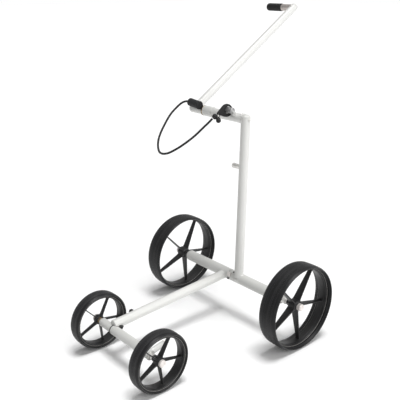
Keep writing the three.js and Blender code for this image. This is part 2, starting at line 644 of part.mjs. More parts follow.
function wheelBearing(side, o) {
  const outerR = HUB_BORE_R - 0.5;
  return turned(sided(side, [
    [6.5, -o.hubIn + 0.5], [outerR, -o.hubIn + 0.5],
    [outerR, o.hubOut - 0.5], [6.5, o.hubOut - 0.5],
  ]), HUB_SIDES);
}

// Quick-release knob: pulled outboard to free the wheel from its axle.
function releaseKnob(side, o) {
  const end = o.hubOut + o.knobLength;
  return turned(sided(side, [
    [6.8, o.hubOut + 0.5], [o.knobR - 1, o.hubOut + 0.5], [o.knobR, o.hubOut + 1.5],
    [o.knobR, end - 3], [o.knobR - 2.6, end], [0, end],
    [0, o.hubOut + 5.2], [6.8, o.hubOut + 5.2],
  ]), 18);
}

function wheel(prefix, parent, x, side, o) {
  const group = groupAt(x, 0, 0, parent);
  const phase = Math.PI / o.sides; // a flat, not a corner, touches the ground
  const tread = o.r / Math.cos(phase); // corner radius that puts the flats at r
  const tyre = o.tyre.map(([r, outboard]) => [r < o.r ? r : tread, outboard]);
  piece(`${prefix}_wheel`, wheelBody(side, o, phase), "moulded", group);
  piece(`${prefix}_tyre`, turned(sided(side, tyre), o.sides, phase), "tyre", group);
  piece(`${prefix}_bearing`, wheelBearing(side, o), "bronze", group);
  piece(`${prefix}_release_knob`, releaseKnob(side, o), "knob", group);
}
wheel("rear_right", rearAxle, REAR_HALF_TRACK, 1, rearWheel);
wheel("rear_left", rearAxle, -REAR_HALF_TRACK, -1, rearWheel);
wheel("front_right", frontAxle, FRONT_X_RIGHT, 1, frontWheel);
wheel("front_left", frontAxle, FRONT_X_LEFT, -1, { ...frontWheel, hubIn: 6, rootIn: 10 });

// ---------------------------------------------------------------- origin at the box's bottom centre
root.updateMatrixWorld(true);
const box = new THREE.Box3().setFromObject(trolley, true);
const centre = box.getCenter(new THREE.Vector3());
trolley.position.set(-centre.x, -centre.y, -box.min.z);
root.updateMatrixWorld(true);

export default root;
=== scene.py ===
"""A folding push trolley: two axles joined by a beam, four wheels, and a post with a handle.

X runs across it, with its right side at +X. The front wheels lie toward -Y, the handle rises
toward +Y, and Z is up. Lengths are millimetres from the ground under the rear axle's centre,
and at() turns them into metres in the CAD frame.
"""
import json
import math
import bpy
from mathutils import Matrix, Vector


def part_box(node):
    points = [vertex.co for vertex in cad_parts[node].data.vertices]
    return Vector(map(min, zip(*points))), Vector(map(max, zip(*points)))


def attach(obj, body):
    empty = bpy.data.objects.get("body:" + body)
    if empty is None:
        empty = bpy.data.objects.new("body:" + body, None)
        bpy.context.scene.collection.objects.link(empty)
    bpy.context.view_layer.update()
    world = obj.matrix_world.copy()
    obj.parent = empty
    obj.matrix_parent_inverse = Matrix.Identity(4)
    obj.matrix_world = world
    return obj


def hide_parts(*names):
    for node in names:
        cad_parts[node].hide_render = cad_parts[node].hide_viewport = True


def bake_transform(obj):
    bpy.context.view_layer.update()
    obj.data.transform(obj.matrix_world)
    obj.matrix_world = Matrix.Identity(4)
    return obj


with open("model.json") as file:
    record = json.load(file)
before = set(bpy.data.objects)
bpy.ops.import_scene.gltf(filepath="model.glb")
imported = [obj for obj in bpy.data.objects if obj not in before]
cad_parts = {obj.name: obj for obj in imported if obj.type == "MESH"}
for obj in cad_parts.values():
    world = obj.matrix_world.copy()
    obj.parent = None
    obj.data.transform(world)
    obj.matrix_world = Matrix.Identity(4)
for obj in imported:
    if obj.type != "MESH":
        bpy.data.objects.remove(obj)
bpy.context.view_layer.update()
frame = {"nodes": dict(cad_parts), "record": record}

from types import SimpleNamespace

import bpy
import bmesh
from mathutils import Matrix, Vector

rad = math.radians

# ---------------------------------------------------------------- driving dimensions
ACROSS = (1, 0, 0)
# (y, z) of each axis that runs across the trolley
REAR = (0.0, 150.0)
FRONT = (-508.7, 99.8)
ARM = (12.4, 743.0)
HITCH_PIN = (-13.0, 770.0)

# Each wheel's corner: the body it rides on, its side, its axle's (y, z), and along the axle
# the tube's end, the span that sizes the stub axle, and the wheel's middle.
CORNERS = {
    "rear_right": SimpleNamespace(body="main_frame", side=1, axle=REAR, tube_end=230.0,
                                  hub_from=277.5, hub_to=311.0, wheel=303.5),
    "rear_left": SimpleNamespace(body="front_beam", side=-1, axle=REAR, tube_end=252.0,
                                 hub_from=277.5, hub_to=311.0, wheel=303.5),
    "front_right": SimpleNamespace(body="front_right_arm", side=1, axle=FRONT, tube_end=161.0,
                                   hub_from=189.2, hub_to=213.2, wheel=202.2),
    "front_left": SimpleNamespace(body="front_beam", side=-1, axle=FRONT, tube_end=109.0,
                                  hub_from=125.4, hub_to=142.8, wheel=131.8),
}

tube_low, tube_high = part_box("rear_axle_right_tube")
OFFSET = Vector((
    tube_high.x - CORNERS["rear_right"].tube_end / 1000,
    (tube_low.y + tube_high.y) / 2,
    (tube_low.z + tube_high.z) / 2 - REAR[1] / 1000,
))


def at(x, y, z):
    return Vector((x, y, z)) / 1000 + OFFSET


POST_LEAN = rad(1.6)
POST_X = 28.0
POST_TOP = 752.0
POST_LENGTH = (POST_TOP - REAR[1]) / math.cos(POST_LEAN)
POST_UP = Vector((0, math.sin(POST_LEAN), math.cos(POST_LEAN)))


def on_post(z):
    """The point of the post's axis at height z."""
    return (POST_X, ARM[0] + (z - ARM[1]) * math.tan(POST_LEAN), z)


HANDLE_RISE = rad(33.42)
HANDLE_LENGTH = 626.0
HANDLE_UP = Vector((0, math.cos(HANDLE_RISE), math.sin(HANDLE_RISE)))

BEAM_X = -46.5
BEAM_REAR_Z, BEAM_FRONT_Z, BEAM_REACH = 146.2, 114.6, 512.0
BEAM_DROP = BEAM_REAR_Z - BEAM_FRONT_Z
BEAM_ANGLE = math.atan2(BEAM_DROP, BEAM_REACH)
BEAM_FORWARD = Vector((0, -math.cos(BEAM_ANGLE), -math.sin(BEAM_ANGLE)))

BAG_ARM_RISE = rad(11)

# The main tubes: (outer radius, a point of the axis, axis)
REAR_TUBE = (20.0, (0, *REAR), ACROSS)
POST_TUBE = (16.5, on_post(REAR[1]), POST_UP)
ARM_TUBE = (16.25, (0, *ARM), ACROSS)
BARREL_TUBE = (15.5, (0, *ARM), ACROSS)
HANDLE_TUBE = (15.0, (-235.0, *ARM), HANDLE_UP)
BEAM_TUBE = (16.5, (BEAM_X, 0.0, BEAM_REAR_Z), BEAM_FORWARD)
FRONT_TUBE = (16.0, (0, *FRONT), ACROSS)
BAG_ARM_TUBE = (10.0, (147, *FRONT), Vector((0, math.cos(BAG_ARM_RISE), math.sin(BAG_ARM_RISE))))


# ---------------------------------------------------------------- shader building
class Shader:
    """Short names for the shader nodes, and the base colour as it is layered up."""

    def __init__(self, tree, bsdf):
        self.tree, self.bsdf = tree, bsdf
        self.coord = self.node("ShaderNodeTexCoord").outputs["Object"]
        self.normal = None
        self.colour = None

    def node(self, kind, **props):
        node = self.tree.nodes.new(kind)
        for key, value in props.items():
            setattr(node, key, value)
        return node

    def put(self, socket, value):
        if isinstance(value, bpy.types.NodeSocket):
            self.tree.links.new(value, socket)
        else:
            socket.default_value = value

    def noise(self, scale, detail=4.0, rough=0.55, vector=None):
        node = self.node("ShaderNodeTexNoise")
        self.put(node.inputs["Vector"], vector or self.coord)
        node.inputs["Scale"].default_value = scale
        node.inputs["Detail"].default_value = detail
        node.inputs["Roughness"].default_value = rough
        return node.outputs["Fac"]

    def streaks(self, scale, detail=3.0, rough=0.6):
        """Noise with its own scale along each axis."""
        node = self.node("ShaderNodeMapping")
        self.put(node.inputs["Vector"], self.coord)
        node.inputs["Scale"].default_value = scale
        return self.noise(scale=1.0, detail=detail, rough=rough, vector=node.outputs["Vector"])

    def cells(self, scale):
        node = self.node("ShaderNodeTexVoronoi", feature="F1")
        self.put(node.inputs["Vector"], self.coord)
        node.inputs["Scale"].default_value = scale
        return node.outputs["Distance"]

    def math(self, operation, a, b=0.0):
        node = self.node("ShaderNodeMath", operation=operation)
        self.put(node.inputs[0], a)
        self.put(node.inputs[1], b)
        return node.outputs[0]

    def times(self, a, b):
        return self.math("MULTIPLY", a, b)

    def plus(self, a, b):
        return self.math("ADD", a, b)

    def ramp(self, value, over, to=(0.0, 1.0)):
        """Maps the range over onto the range to, held at its ends."""
        node = self.node("ShaderNodeMapRange", clamp=True)
        self.put(node.inputs["Value"], value)
        for key, limit in zip(("From Min", "From Max", "To Min", "To Max"), (*over, *to)):
            self.put(node.inputs[key], limit)
        return node.outputs["Result"]

    def base(self, amount, low, high):
        """Starts the colour as a blend from low to high."""
        node = self.node("ShaderNodeMix", data_type="RGBA")
        self.put(node.inputs[0], amount)
        for socket, rgb in ((node.inputs[6], low), (node.inputs[7], high)):
            self.put(socket, rgb if isinstance(rgb, bpy.types.NodeSocket) else (*rgb, 1))
        self.colour = node.outputs[2]

    def layer(self, amount, rgb):
        """Lays rgb over the colour so far."""
        self.base(amount, self.colour, rgb)

    def rough(self, value):
        self.put(self.bsdf.inputs["Roughness"], value)

    def bump(self, value, strength, distance):
        node = self.node("ShaderNodeBump")
        node.inputs["Strength"].default_value = strength
        node.inputs["Distance"].default_value = distance
        self.put(node.inputs["Height"], value)
        if self.normal is not None:
            self.put(node.inputs["Normal"], self.normal)
        self.normal = node.outputs["Normal"]
        self.put(self.bsdf.inputs["Normal"], self.normal)

    def radius(self):
        """Distance from the piece's own X axis, and X."""
        split = self.node("ShaderNodeSeparateXYZ")
        self.put(split.inputs[0], self.coord)
        y_squared = self.times(split.outputs[1], split.outputs[1])
        z_squared = self.times(split.outputs[2], split.outputs[2])
        return self.math("SQRT", self.plus(y_squared, z_squared)), split.outputs[0]

    def worn_edges(self, amount):
        """amount on convex edges, 0 on flats."""
        geometry = self.node("ShaderNodeNewGeometry")
        return self.ramp(geometry.outputs["Pointiness"], over=(0.515, 0.56), to=(0.0, amount))

    def painted_crevice_shade(self, distance):
        """Painted shade from ambient occlusion: 1 deep in corners, 0 in the open."""
        node = self.node("ShaderNodeAmbientOcclusion", samples=4)
        node.inputs["Distance"].default_value = distance
        return self.ramp(node.outputs["AO"], over=(0.75, 0.2))


def powder(s):
    peel = s.noise(scale=620, detail=2.0, rough=0.5)
    grain = s.noise(scale=2600, detail=2.0, rough=0.6)
    clouds = s.noise(scale=7.0, detail=3.0, rough=0.5)
    handled = s.noise(scale=38.0, detail=5.0, rough=0.62)
    s.base(s.ramp(clouds, over=(0.35, 0.68)), (0.600, 0.602, 0.580), (0.630, 0.632, 0.612))
    s.layer(s.ramp(handled, over=(0.60, 0.78), to=(0.0, 0.10)), (0.50, 0.485, 0.455))
    # Painted shade: darker grey in corners and creases.
    s.layer(s.times(s.painted_crevice_shade(distance=0.008), 0.35), (0.34, 0.33, 0.30))
    s.layer(s.worn_edges(amount=0.35), (0.76, 0.755, 0.74))
    s.rough(s.plus(s.ramp(handled, over=(0.3, 0.75), to=(0.30, 0.42)), s.times(grain, 0.06)))
    s.bump(peel, strength=0.10, distance=0.0004)
    s.bump(grain, strength=0.05, distance=0.0001)


def turned_metal(light, dark, rough):
    def build(s):
        lines = s.streaks(scale=(2600, 60, 60))
        faint = s.noise(scale=60, detail=4.0, rough=0.55)
        s.base(s.ramp(lines, over=(0.3, 0.7)), dark, light)
        # Painted shade: near black in corners and creases.
        s.layer(s.times(s.painted_crevice_shade(distance=0.004), 0.7), (0.10, 0.09, 0.08))
        s.layer(s.worn_edges(amount=0.5), (0.93, 0.92, 0.90))
        s.rough(s.plus(s.ramp(faint, over=(0.3, 0.75), to=rough), s.times(lines, 0.12)))
        s.bump(lines, strength=0.12, distance=0.00012)
    return build


def moulded(s):
    grain = s.cells(scale=1500)
    soft = s.noise(scale=26, detail=4.0, rough=0.55)
    dust = s.noise(scale=9, detail=5.0, rough=0.6)
    s.base(s.ramp(soft, over=(0.3, 0.72)), (0.009, 0.009, 0.0095), (0.016, 0.016, 0.0168))
    s.layer(s.ramp(dust, over=(0.52, 0.80), to=(0.0, 0.20)), (0.050, 0.048, 0.046))
    s.layer(s.worn_edges(amount=0.6), (0.085, 0.085, 0.086))
    s.rough(s.ramp(soft, over=(0.3, 0.75), to=(0.34, 0.50)))
    s.bump(grain, strength=0.12, distance=0.00012)
    s.bump(s.noise(scale=180, detail=3.0, rough=0.5), strength=0.05, distance=0.0004)


def tyre(s):
    radius, x = s.radius()
    # Noise in (x, radius) makes rings; both scales are 1.
    section = s.node("ShaderNodeCombineXYZ")
    s.put(section.inputs[0], s.times(x, 1.0))
    s.put(section.inputs[1], s.times(radius, 1.0))
    rings = s.noise(scale=430, detail=2.0, rough=0.6, vector=section.outputs["Vector"])
    broad = s.noise(scale=120, detail=2.0, rough=0.5, vector=section.outputs["Vector"])
    skin = s.noise(scale=900, detail=4.0, rough=0.65)
    scuff = s.streaks(scale=(110, 22, 22), detail=5.0, rough=0.62)
    dust = s.noise(scale=14, detail=5.0, rough=0.6)
    s.base(s.ramp(scuff, over=(0.35, 0.72)), (0.0040, 0.0040, 0.0046), (0.0085, 0.0085, 0.0092))
    # Lighter on the rings: the rubber's own moulded rings, plus a painted highlight along them.
    s.layer(s.ramp(rings, over=(0.54, 0.64), to=(0.0, 0.85)), (0.055, 0.055, 0.058))
    s.layer(s.ramp(broad, over=(0.50, 0.66), to=(0.0, 0.35)), (0.030, 0.030, 0.032))
    s.layer(s.ramp(dust, over=(0.54, 0.82), to=(0.0, 0.20)), (0.040, 0.038, 0.035))
    s.layer(s.worn_edges(amount=0.5), (0.070, 0.070, 0.072))
    # Painted shade: darker in corners and between the ribs.
    s.layer(s.times(s.painted_crevice_shade(distance=0.003), 0.8), (0.0015, 0.0015, 0.0015))
    s.rough(s.ramp(rings, over=(0.35, 0.68), to=(0.34, 0.55)))
    s.bump(skin, strength=0.15, distance=0.0003)
    s.bump(rings, strength=0.35, distance=0.0006)
    s.bump(scuff, strength=0.06, distance=0.0006)


# Mid grey on a black rim's lip: a painted highlight along the rim's edge.
def lip_painted_highlight(s):
    chips = s.noise(scale=120, detail=4.0, rough=0.6)
    s.base(s.ramp(chips, over=(0.35, 0.7)), (0.17, 0.165, 0.155), (0.29, 0.28, 0.265))
    s.rough(s.ramp(chips, over=(0.3, 0.7), to=(0.22, 0.36)))
    s.bump(chips, strength=0.08, distance=0.0002)


def rubber(low, high, grain=1100.0):
    def build(s):
        skin = s.noise(scale=grain, detail=3.0, rough=0.6)
        soft = s.noise(scale=45, detail=4.0, rough=0.55)
        s.base(s.ramp(soft, over=(0.3, 0.72)), low, high)
        s.layer(s.worn_edges(amount=0.4), (0.06, 0.059, 0.057))
        s.rough(s.ramp(soft, over=(0.3, 0.75), to=(0.52, 0.70)))
        s.bump(skin, strength=0.20, distance=0.0002)
    return build


def braid(s):
    fibre = s.noise(scale=5200, detail=3.0, rough=0.7)
    strand = s.noise(scale=240, detail=3.0, rough=0.5)
    s.base(s.ramp(strand, over=(0.35, 0.7)), (0.007, 0.007, 0.0075), (0.017, 0.017, 0.018))
    s.layer(s.ramp(fibre, over=(0.55, 0.8), to=(0.0, 0.5)), (0.042, 0.042, 0.044))
    # Painted shade: darker in the hollows between strands.
    s.layer(s.times(s.painted_crevice_shade(distance=0.0012), 0.8), (0.002, 0.002, 0.002))
    s.rough(s.ramp(fibre, over=(0.3, 0.8), to=(0.62, 0.88)))
    s.put(s.bsdf.inputs["Sheen Weight"], 0.12)
    s.put(s.bsdf.inputs["Sheen Roughness"], 0.5)
    s.bump(fibre, strength=0.5, distance=0.00015)


def bronze(s):
    pores = s.cells(scale=1900)
    lines = s.streaks(scale=(2000, 70, 70))
    s.base(s.ramp(lines, over=(0.3, 0.7)), (0.30, 0.205, 0.105), (0.46, 0.33, 0.18))
    s.layer(s.ramp(pores, over=(0.0, 0.22), to=(0.6, 0.0)), (0.10, 0.07, 0.04))
    s.rough(s.ramp(lines, over=(0.3, 0.7), to=(0.36, 0.5)))
    s.bump(lines, strength=0.1, distance=0.0001)


# ---------------------------------------------------------------- materials
MATERIALS = {}


def material(name, color, build, roughness, metallic=0.0, coat=0.0, specular=0.5):
    """color shows in the viewport; build shades the render."""
    made = bpy.data.materials.new(name)
    made.use_nodes = True
    made.diffuse_color = (*color, 1)
    bsdf = made.node_tree.nodes["Principled BSDF"]
    for key, value in {
        "Base Color": (*color, 1), "Roughness": roughness, "Metallic": metallic,
        "Coat Weight": coat, "Coat Roughness": 0.12, "Specular IOR Level": specular,
    }.items():
        bsdf.inputs[key].default_value = value
    shader = Shader(made.node_tree, bsdf)
    build(shader)
    shader.put(bsdf.inputs["Base Color"], shader.colour)
    MATERIALS[name] = made


material("powder_coat", (0.82, 0.815, 0.80), powder, roughness=0.38, coat=0.15)
material("steel", (0.66, 0.65, 0.63), roughness=0.34, metallic=0.7, build=turned_metal(
    light=(0.76, 0.75, 0.72), dark=(0.60, 0.59, 0.565), rough=(0.24, 0.38)))
material("collar_steel", (0.42, 0.39, 0.37), roughness=0.34, metallic=0.7, build=turned_metal(
    light=(0.56, 0.51, 0.48), dark=(0.27, 0.24, 0.23), rough=(0.24, 0.38)))
material("dark_steel", (0.26, 0.26, 0.26), roughness=0.38, metallic=0.75, build=turned_metal(
    light=(0.33, 0.33, 0.33), dark=(0.20, 0.20, 0.205), rough=(0.28, 0.42)))
material("satin_cap", (0.74, 0.70, 0.67), roughness=0.5, metallic=0.25, build=turned_metal(
    light=(0.79, 0.745, 0.72), dark=(0.66, 0.62, 0.595), rough=(0.42, 0.56)))
material("black_fittings", (0.012, 0.012, 0.012), moulded, roughness=0.38, specular=0.35)
material("soft_rubber", (0.02, 0.02, 0.02), roughness=0.6, specular=0.3, build=rubber(
    low=(0.007, 0.007, 0.0074), high=(0.014, 0.014, 0.0148)))
material("cord", (0.013, 0.013, 0.014), braid, roughness=0.8, specular=0.25)
material("grip_rubber", (0.015, 0.015, 0.015), roughness=0.65, specular=0.3, build=rubber(
    low=(0.006, 0.006, 0.0062), high=(0.011, 0.011, 0.0115), grain=1500.0))
material("bronze_bush", (0.45, 0.33, 0.19), bronze, roughness=0.42, metallic=1.0)
material("moulded_black", (0.013, 0.013, 0.0135), moulded, roughness=0.42, specular=0.35)
# Painted highlight for the rim's lip.
material("rim_lip_painted_highlight", (0.2, 0.2, 0.19), lip_painted_highlight, roughness=0.3)
# Lighter grey rubber for the sidewall ring: a painted highlight along the tyre's shoulder.
material("mould_line", (0.07, 0.07, 0.07), roughness=0.4, build=rubber(
    low=(0.050, 0.050, 0.051), high=(0.085, 0.084, 0.082)))
material("tyre_rubber", (0.010, 0.010, 0.011), tyre, roughness=0.5, specular=0.24)


# ---------------------------------------------------------------- objects
# A part is (points in millimetres, faces). A mesh joins closed parts and is in metres.
def placed_along(origin, axis):
    """Places a shape drawn along its own X axis."""
    x = Vector(axis).normalized()
    reference = Vector((0, 0, 1)) if abs(x.z) < 0.9 else Vector((0, 1, 0))
    y = reference.cross(x).normalized()
    matrix = Matrix((x, y, x.cross(y))).transposed().to_4x4()
    matrix.translation = origin
    return matrix


def shade_smooth(mesh, sharp=32):
    for polygon in mesh.polygons:
        polygon.use_smooth = True
    mesh.set_sharp_from_angle(angle=rad(sharp))


def link_parts(name, parts, matrix):
    """An object of the parts, with every shell facing out."""
    points, faces = [], []
    for part_points, part_faces in parts:
        first = len(points)
        points += [Vector(p) / 1000 for p in part_points]
        faces += [[i + first for i in face] for face in part_faces]
    mesh = bpy.data.meshes.new(name)
    mesh.from_pydata(points, [], faces)
    edit = bmesh.new()
    edit.from_mesh(mesh)
    bmesh.ops.recalc_face_normals(edit, faces=edit.faces)
    edit.to_mesh(mesh)
    edit.free()
    obj = bpy.data.objects.new(name, mesh)
    bpy.context.scene.collection.objects.link(obj)
    obj.matrix_world = matrix
    return obj


def piece(name, parts, look, body, cad=None, matrix=None, sharp=32):
    """A finished piece: look is its material, cad the CAD node it replaces."""
    obj = link_parts(name, parts, matrix or Matrix.Translation(OFFSET))
    shade_smooth(obj.data, sharp)
    obj.data.materials.append(MATERIALS[look])
    if body:
        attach(obj, body)
    if cad:
        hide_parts(cad)
    return obj


def turned(name, profile, look, body, origin, axis=ACROSS, cad=None, seg=96, sharp=32,
           radius_at=None):
    part = lathe(profile, seg, radius_at)
    return piece(name, [part], look, body, cad, placed_along(at(*origin), axis), sharp)


def cut_with(obj, *tools):
    """Cuts the tools out of obj for good."""
    for cutter in tools:
        cut = obj.modifiers.new("cut", "BOOLEAN")
        cut.operation = "DIFFERENCE"
        cut.solver = "EXACT"
        cut.object = cutter
    depsgraph = bpy.context.evaluated_depsgraph_get()
    mesh = bpy.data.meshes.new_from_object(obj.evaluated_get(depsgraph))
    obj.modifiers.clear()
    obj.data = mesh
    for cutter in tools:
        bpy.data.objects.remove(cutter)
    shade_smooth(mesh)


def tool(part, matrix):
    return link_parts("tool", [part], matrix)


def drill(radius, start, end, matrix, seg):
    """A cutting cylinder along its own X axis."""
    return tool(lathe([(0, start), (radius, start), (radius, end), (0, end)], seg), matrix)


# ---------------------------------------------------------------- shapes
# A profile is a list of (radius, x) or (radius, x, fillet) points.
def rounded(profile):
    """The profile's (radius, x) points with its corners rounded."""
    out = []
    for i, point in enumerate(profile):
        fillet = point[2] if len(point) > 2 else 0.0
        if fillet <= 0:
            out.append((point[0], point[1]))
            continue
        corner = Vector((point[0], point[1]))
        back = Vector(profile[i - 1][:2]) - corner
        ahead = Vector(profile[(i + 1) % len(profile)][:2]) - corner
        back_length, ahead_length = back.length, ahead.length
        back, ahead = back / back_length, ahead / ahead_length
        turn = math.acos(max(-1.0, min(1.0, back.dot(ahead))))
        if turn > rad(176) or turn < rad(2):
            out.append((point[0], point[1]))
            continue
        trim = min(fillet / math.tan(turn / 2), back_length * 0.49, ahead_length * 0.49)
        radius = trim * math.tan(turn / 2)
        centre = corner + (back + ahead).normalized() * (radius / math.sin(turn / 2))
        start = corner + back * trim - centre
        end = corner + ahead * trim - centre
        sweep = math.acos(max(-1.0, min(1.0, start.normalized().dot(end.normalized()))))
        sign = 1 if start.x * end.y - start.y * end.x > 0 else -1
        steps = 5 if trim > 0.5 else 3
        for k in range(steps + 1):
            angle = sign * sweep * k / steps
            cos, sin = math.cos(angle), math.sin(angle)
            arc = Vector((start.x * cos - start.y * sin, start.x * sin + start.y * cos))
            out.append(tuple(centre + arc))
    return out


def lathe(profile, seg, radius_at=None):
    """The profile turned about X. One that starts off the axis closes on itself."""
    points, rings = [], []
    for radius, x in rounded(profile):
        if radius < 1e-9:
            points.append((x, 0, 0))
            rings.append([len(points) - 1])
            continue
        ring = []
        for k in range(seg):
            angle = 2 * math.pi * k / seg
            reach = radius_at(radius, angle) if radius_at else radius
            points.append((x, reach * math.sin(angle), reach * math.cos(angle)))
            ring.append(len(points) - 1)
        rings.append(ring)
    pairs = list(zip(rings, rings[1:]))
    if profile[0][0] > 1e-9:
        pairs.append((rings[-1], rings[0]))
    faces = []
    for a, b in pairs:
        for k in range(seg):
            j = (k + 1) % seg
            if len(a) == 1:
                faces.append([a[0], b[k], b[j]])
            elif len(b) == 1:
                faces.append([a[k], b[0], a[j]])
            else:
                faces.append([a[k], b[k], b[j], a[j]])
    return points, faces


def shifted(profile, x):
    return [(p[0], x + p[1], *p[2:]) for p in profile]


def mirrored(profile, side):
    return [(p[0], side * p[1], *p[2:]) for p in profile]


def tube(radius, wall, start, end, edge=0.6):
    return [(radius - wall, start, edge * 0.6), (radius, start, edge),
            (radius, end, edge), (radius - wall, end, edge * 0.6)]


def box(xs, ys, zs):
    points = [(x, y, z) for x in xs for y in ys for z in zs]
    faces = [(0, 1, 3, 2), (4, 6, 7, 5), (0, 4, 5, 1), (2, 3, 7, 6), (0, 2, 6, 4), (1, 5, 7, 3)]
    return points, faces


def loft(sections, closed=False):
    """Loops of equal length joined in order: round to the first, or with a fan at each end."""
    points = [p for section in sections for p in section]
    n, count = len(sections[0]), len(sections)
    faces = []
    for i in range(count if closed else count - 1):
        j = (i + 1) % count
        for k in range(n):
            l = (k + 1) % n
            faces.append([i * n + k, i * n + l, j * n + l, j * n + k])
    if not closed:
        for i in (0, count - 1):
            points.append(tuple(sum(p[axis] for p in sections[i]) / n for axis in range(3)))
            centre = len(points) - 1
            for k in range(n):
                faces.append([i * n + k, i * n + (k + 1) % n, centre])
    return points, faces


def moved(part, matrix):
    """The part through a matrix whose translation is in millimetres."""
    points, faces = part
    return [tuple(matrix @ Vector(p)) for p in points], faces


def weld(name, body, branch, main, size=3.4, seg=160):
    """A rippled concave bead where a branch tube stands on a main tube.
    Each tube is (radius, origin, axis); the branch grows along its axis, away from the main."""
    radius, origin, axis = branch[0], Vector(branch[1]), Vector(branch[2]).normalized()
    main_radius, main_origin = main[0], Vector(main[1])
    main_axis = Vector(main[2]).normalized()
    u = (main_axis - axis * main_axis.dot(axis)).normalized()
    v = axis.cross(u)

    def off_main(p):
        from_origin = p - main_origin
        return from_origin - main_axis * from_origin.dot(main_axis)

    def reach(p):
        """How far along the branch from p the main tube's surface is, by bisection."""
        low, high = 0.0, 80.0
        for _ in range(40):
            middle = (low + high) / 2
            if off_main(p + axis * middle).length < main_radius:
                low = middle
            else:
                high = middle
        return low

    sections = []
    for i in range(seg):
        angle = 2 * math.pi * i / seg
        radial = u * math.cos(angle) + v * math.sin(angle)
        fine = 0.10 * math.sin(angle * round(radius * 2.1))
        bead = size * (1 + fine + 0.05 * math.sin(angle * 7 + 1.3))
        on_side = origin + radial * radius
        outside = origin + radial * (radius + bead)
        corner = on_side + axis * reach(on_side)
        top = corner + axis * bead
        foot = outside + axis * reach(outside)
        loop = []
        for k in range(7):  # from the branch's side down to the main tube, slightly hollow
            point = top.lerp(foot, k / 6)
            loop.append(point + (corner - point) * (0.30 * math.sin(math.pi * k / 6)))
        # Three points inside the tubes close the bead.
        loop.append(foot - off_main(foot).normalized() * 1.2)
        loop.append(corner - axis * 1.4 - radial * 0.8)
        loop.append(origin + radial * (radius - 0.8) + axis * (reach(on_side) + bead * 0.9))
        sections.append([tuple(p) for p in loop])
    piece(name, [loft(sections, closed=True)], "powder_coat", body, sharp=60)


# ---------------------------------------------------------------- rear axle
for corner_name, inner_end in (("rear_right", -15), ("rear_left", -17)):
    corner = CORNERS[corner_name]
    ends = sorted((inner_end, corner.side * corner.tube_end))
    turned("rear_axle_" + corner_name[5:], tube(REAR_TUBE[0], 2, *ends), "powder_coat",
           corner.body, (0, *REAR), cad=f"rear_axle_{corner_name[5:]}_tube", seg=112)

# Fold lock: a block on the axle's upper front with a pin through it.
lock_place = Matrix.Translation(at(0, *REAR)) @ Matrix.Rotation(rad(-18), 4, "X")
pin_place = lock_place @ Matrix.Translation(Vector((0, -23.6, 7)) / 1000)
housing = piece("fold_lock_block", [box((-13, 0), (-28.1, -19.1), (-2.5, 12.5))],
                "satin_cap", "main_frame", "fold_lock_housing", lock_place)
cut_with(housing,
         drill(20.5, -60, 60, lock_place, seg=96),
         drill(2.8, -30, 30, pin_place, seg=40))
bevel = housing.modifiers.new("bevel", "BEVEL")
bevel.width = 1.1 / 1000
bevel.segments = 4
bevel.limit_method = "ANGLE"
bevel.angle_limit = rad(50)
piece("lock_pin", [lathe([
    (0, -14.4), (2.3, -14.4, 0.6), (2.3, 3.4), (1.7, 3.9), (1.7, 4.2), (2.3, 4.5), (2.3, 5, 0.5),
    (0, 5),
], 32)], "steel", "fold_lock", "fold_lock_pin", pin_place)


def head_on_axle(name, diameter, height, tilt, x, cad):
    """A dished head that stands off the axle's front, tilted down by tilt degrees."""
    axis = Matrix.Rotation(rad(tilt), 3, "X") @ Vector((0, -1, 0))
    profile = shifted([
        (0, 0), (diameter / 2, 0, 0.2), (diameter / 2, height, 0.9),
        (diameter * 0.30, height, 0.2), (diameter * 0.24, height * 0.45, 0.2),
        (0, height * 0.45),
    ], REAR_TUBE[0] + 0.4)
    turned(name, profile, "black_fittings", "main_frame", (x, *REAR), axis, cad, seg=48)


head_on_axle("lock_screw", diameter=7.5, height=3.4, tilt=19, x=-12, cad="fold_lock_screw")
head_on_axle("pivot_rivet_head", diameter=6, height=1.6, tilt=-69, x=4.6, cad="pivot_rivet")

# ---------------------------------------------------------------- post
turned("post_tube", [
    (14.5, 8), (16.5, 8), (16.5, POST_LENGTH - 2, 0.7), (14.5, POST_LENGTH - 2, 0.3),
], "powder_coat", "main_frame", *POST_TUBE[1:], cad="upright_post", seg=112)
turned("post_top_cap", shifted([
    (0, -6), (13.8, -6), (13.8, -1.7), (16.5, -1.7, 0.5), (16.5, 0.8, 1.8), (14.0, 4.2, 3.5),
    (8.5, 6.9, 5), (0, 7.8),
], POST_LENGTH), "powder_coat", "main_frame", *POST_TUBE[1:], cad="post_cap", sharp=50)
weld("weld_post_base", "main_frame", POST_TUBE, REAR_TUBE)

# ---------------------------------------------------------------- arm, its collar and the barrel
turned("arm_tube", [(14.25, -160, 0.3), (16.25, -160, 0.6), (16.25, 20), (14.25, 20)],
       "powder_coat", "main_frame", (0, *ARM), cad="cross_arm", seg=112)
weld("weld_arm", "main_frame", (ARM_TUBE[0], (POST_X, *ARM), (-1, 0, 0)), POST_TUBE, size=2.8)
turned("collar_sleeve", [
    (16.6, -178.6, 0.2), (18.8, -178.6, 0.5), (18.8, -134, 1.2), (16.6, -133, 0.3),
], "powder_coat", "main_frame", (0, *ARM), cad="arm_collar", seg=112)
turned("collar_bush", [
    (15.9, -182.2, 0.2), (18.2, -182.2, 0.4), (18.7, -181.6, 0.4), (18.7, -178.9, 0.4),
    (16.55, -178.7), (16.55, -168), (15.9, -168),
], "bronze_bush", "main_frame", (0, *ARM))
turned("collar_wiper", [
    (15.8, -184.4, 0.3), (18.2, -184.4, 0.6), (18.9, -183.4, 0.5), (18.9, -182.5, 0.3),
    (15.8, -182.4, 0.2),
], "soft_rubber", "main_frame", (0, *ARM))
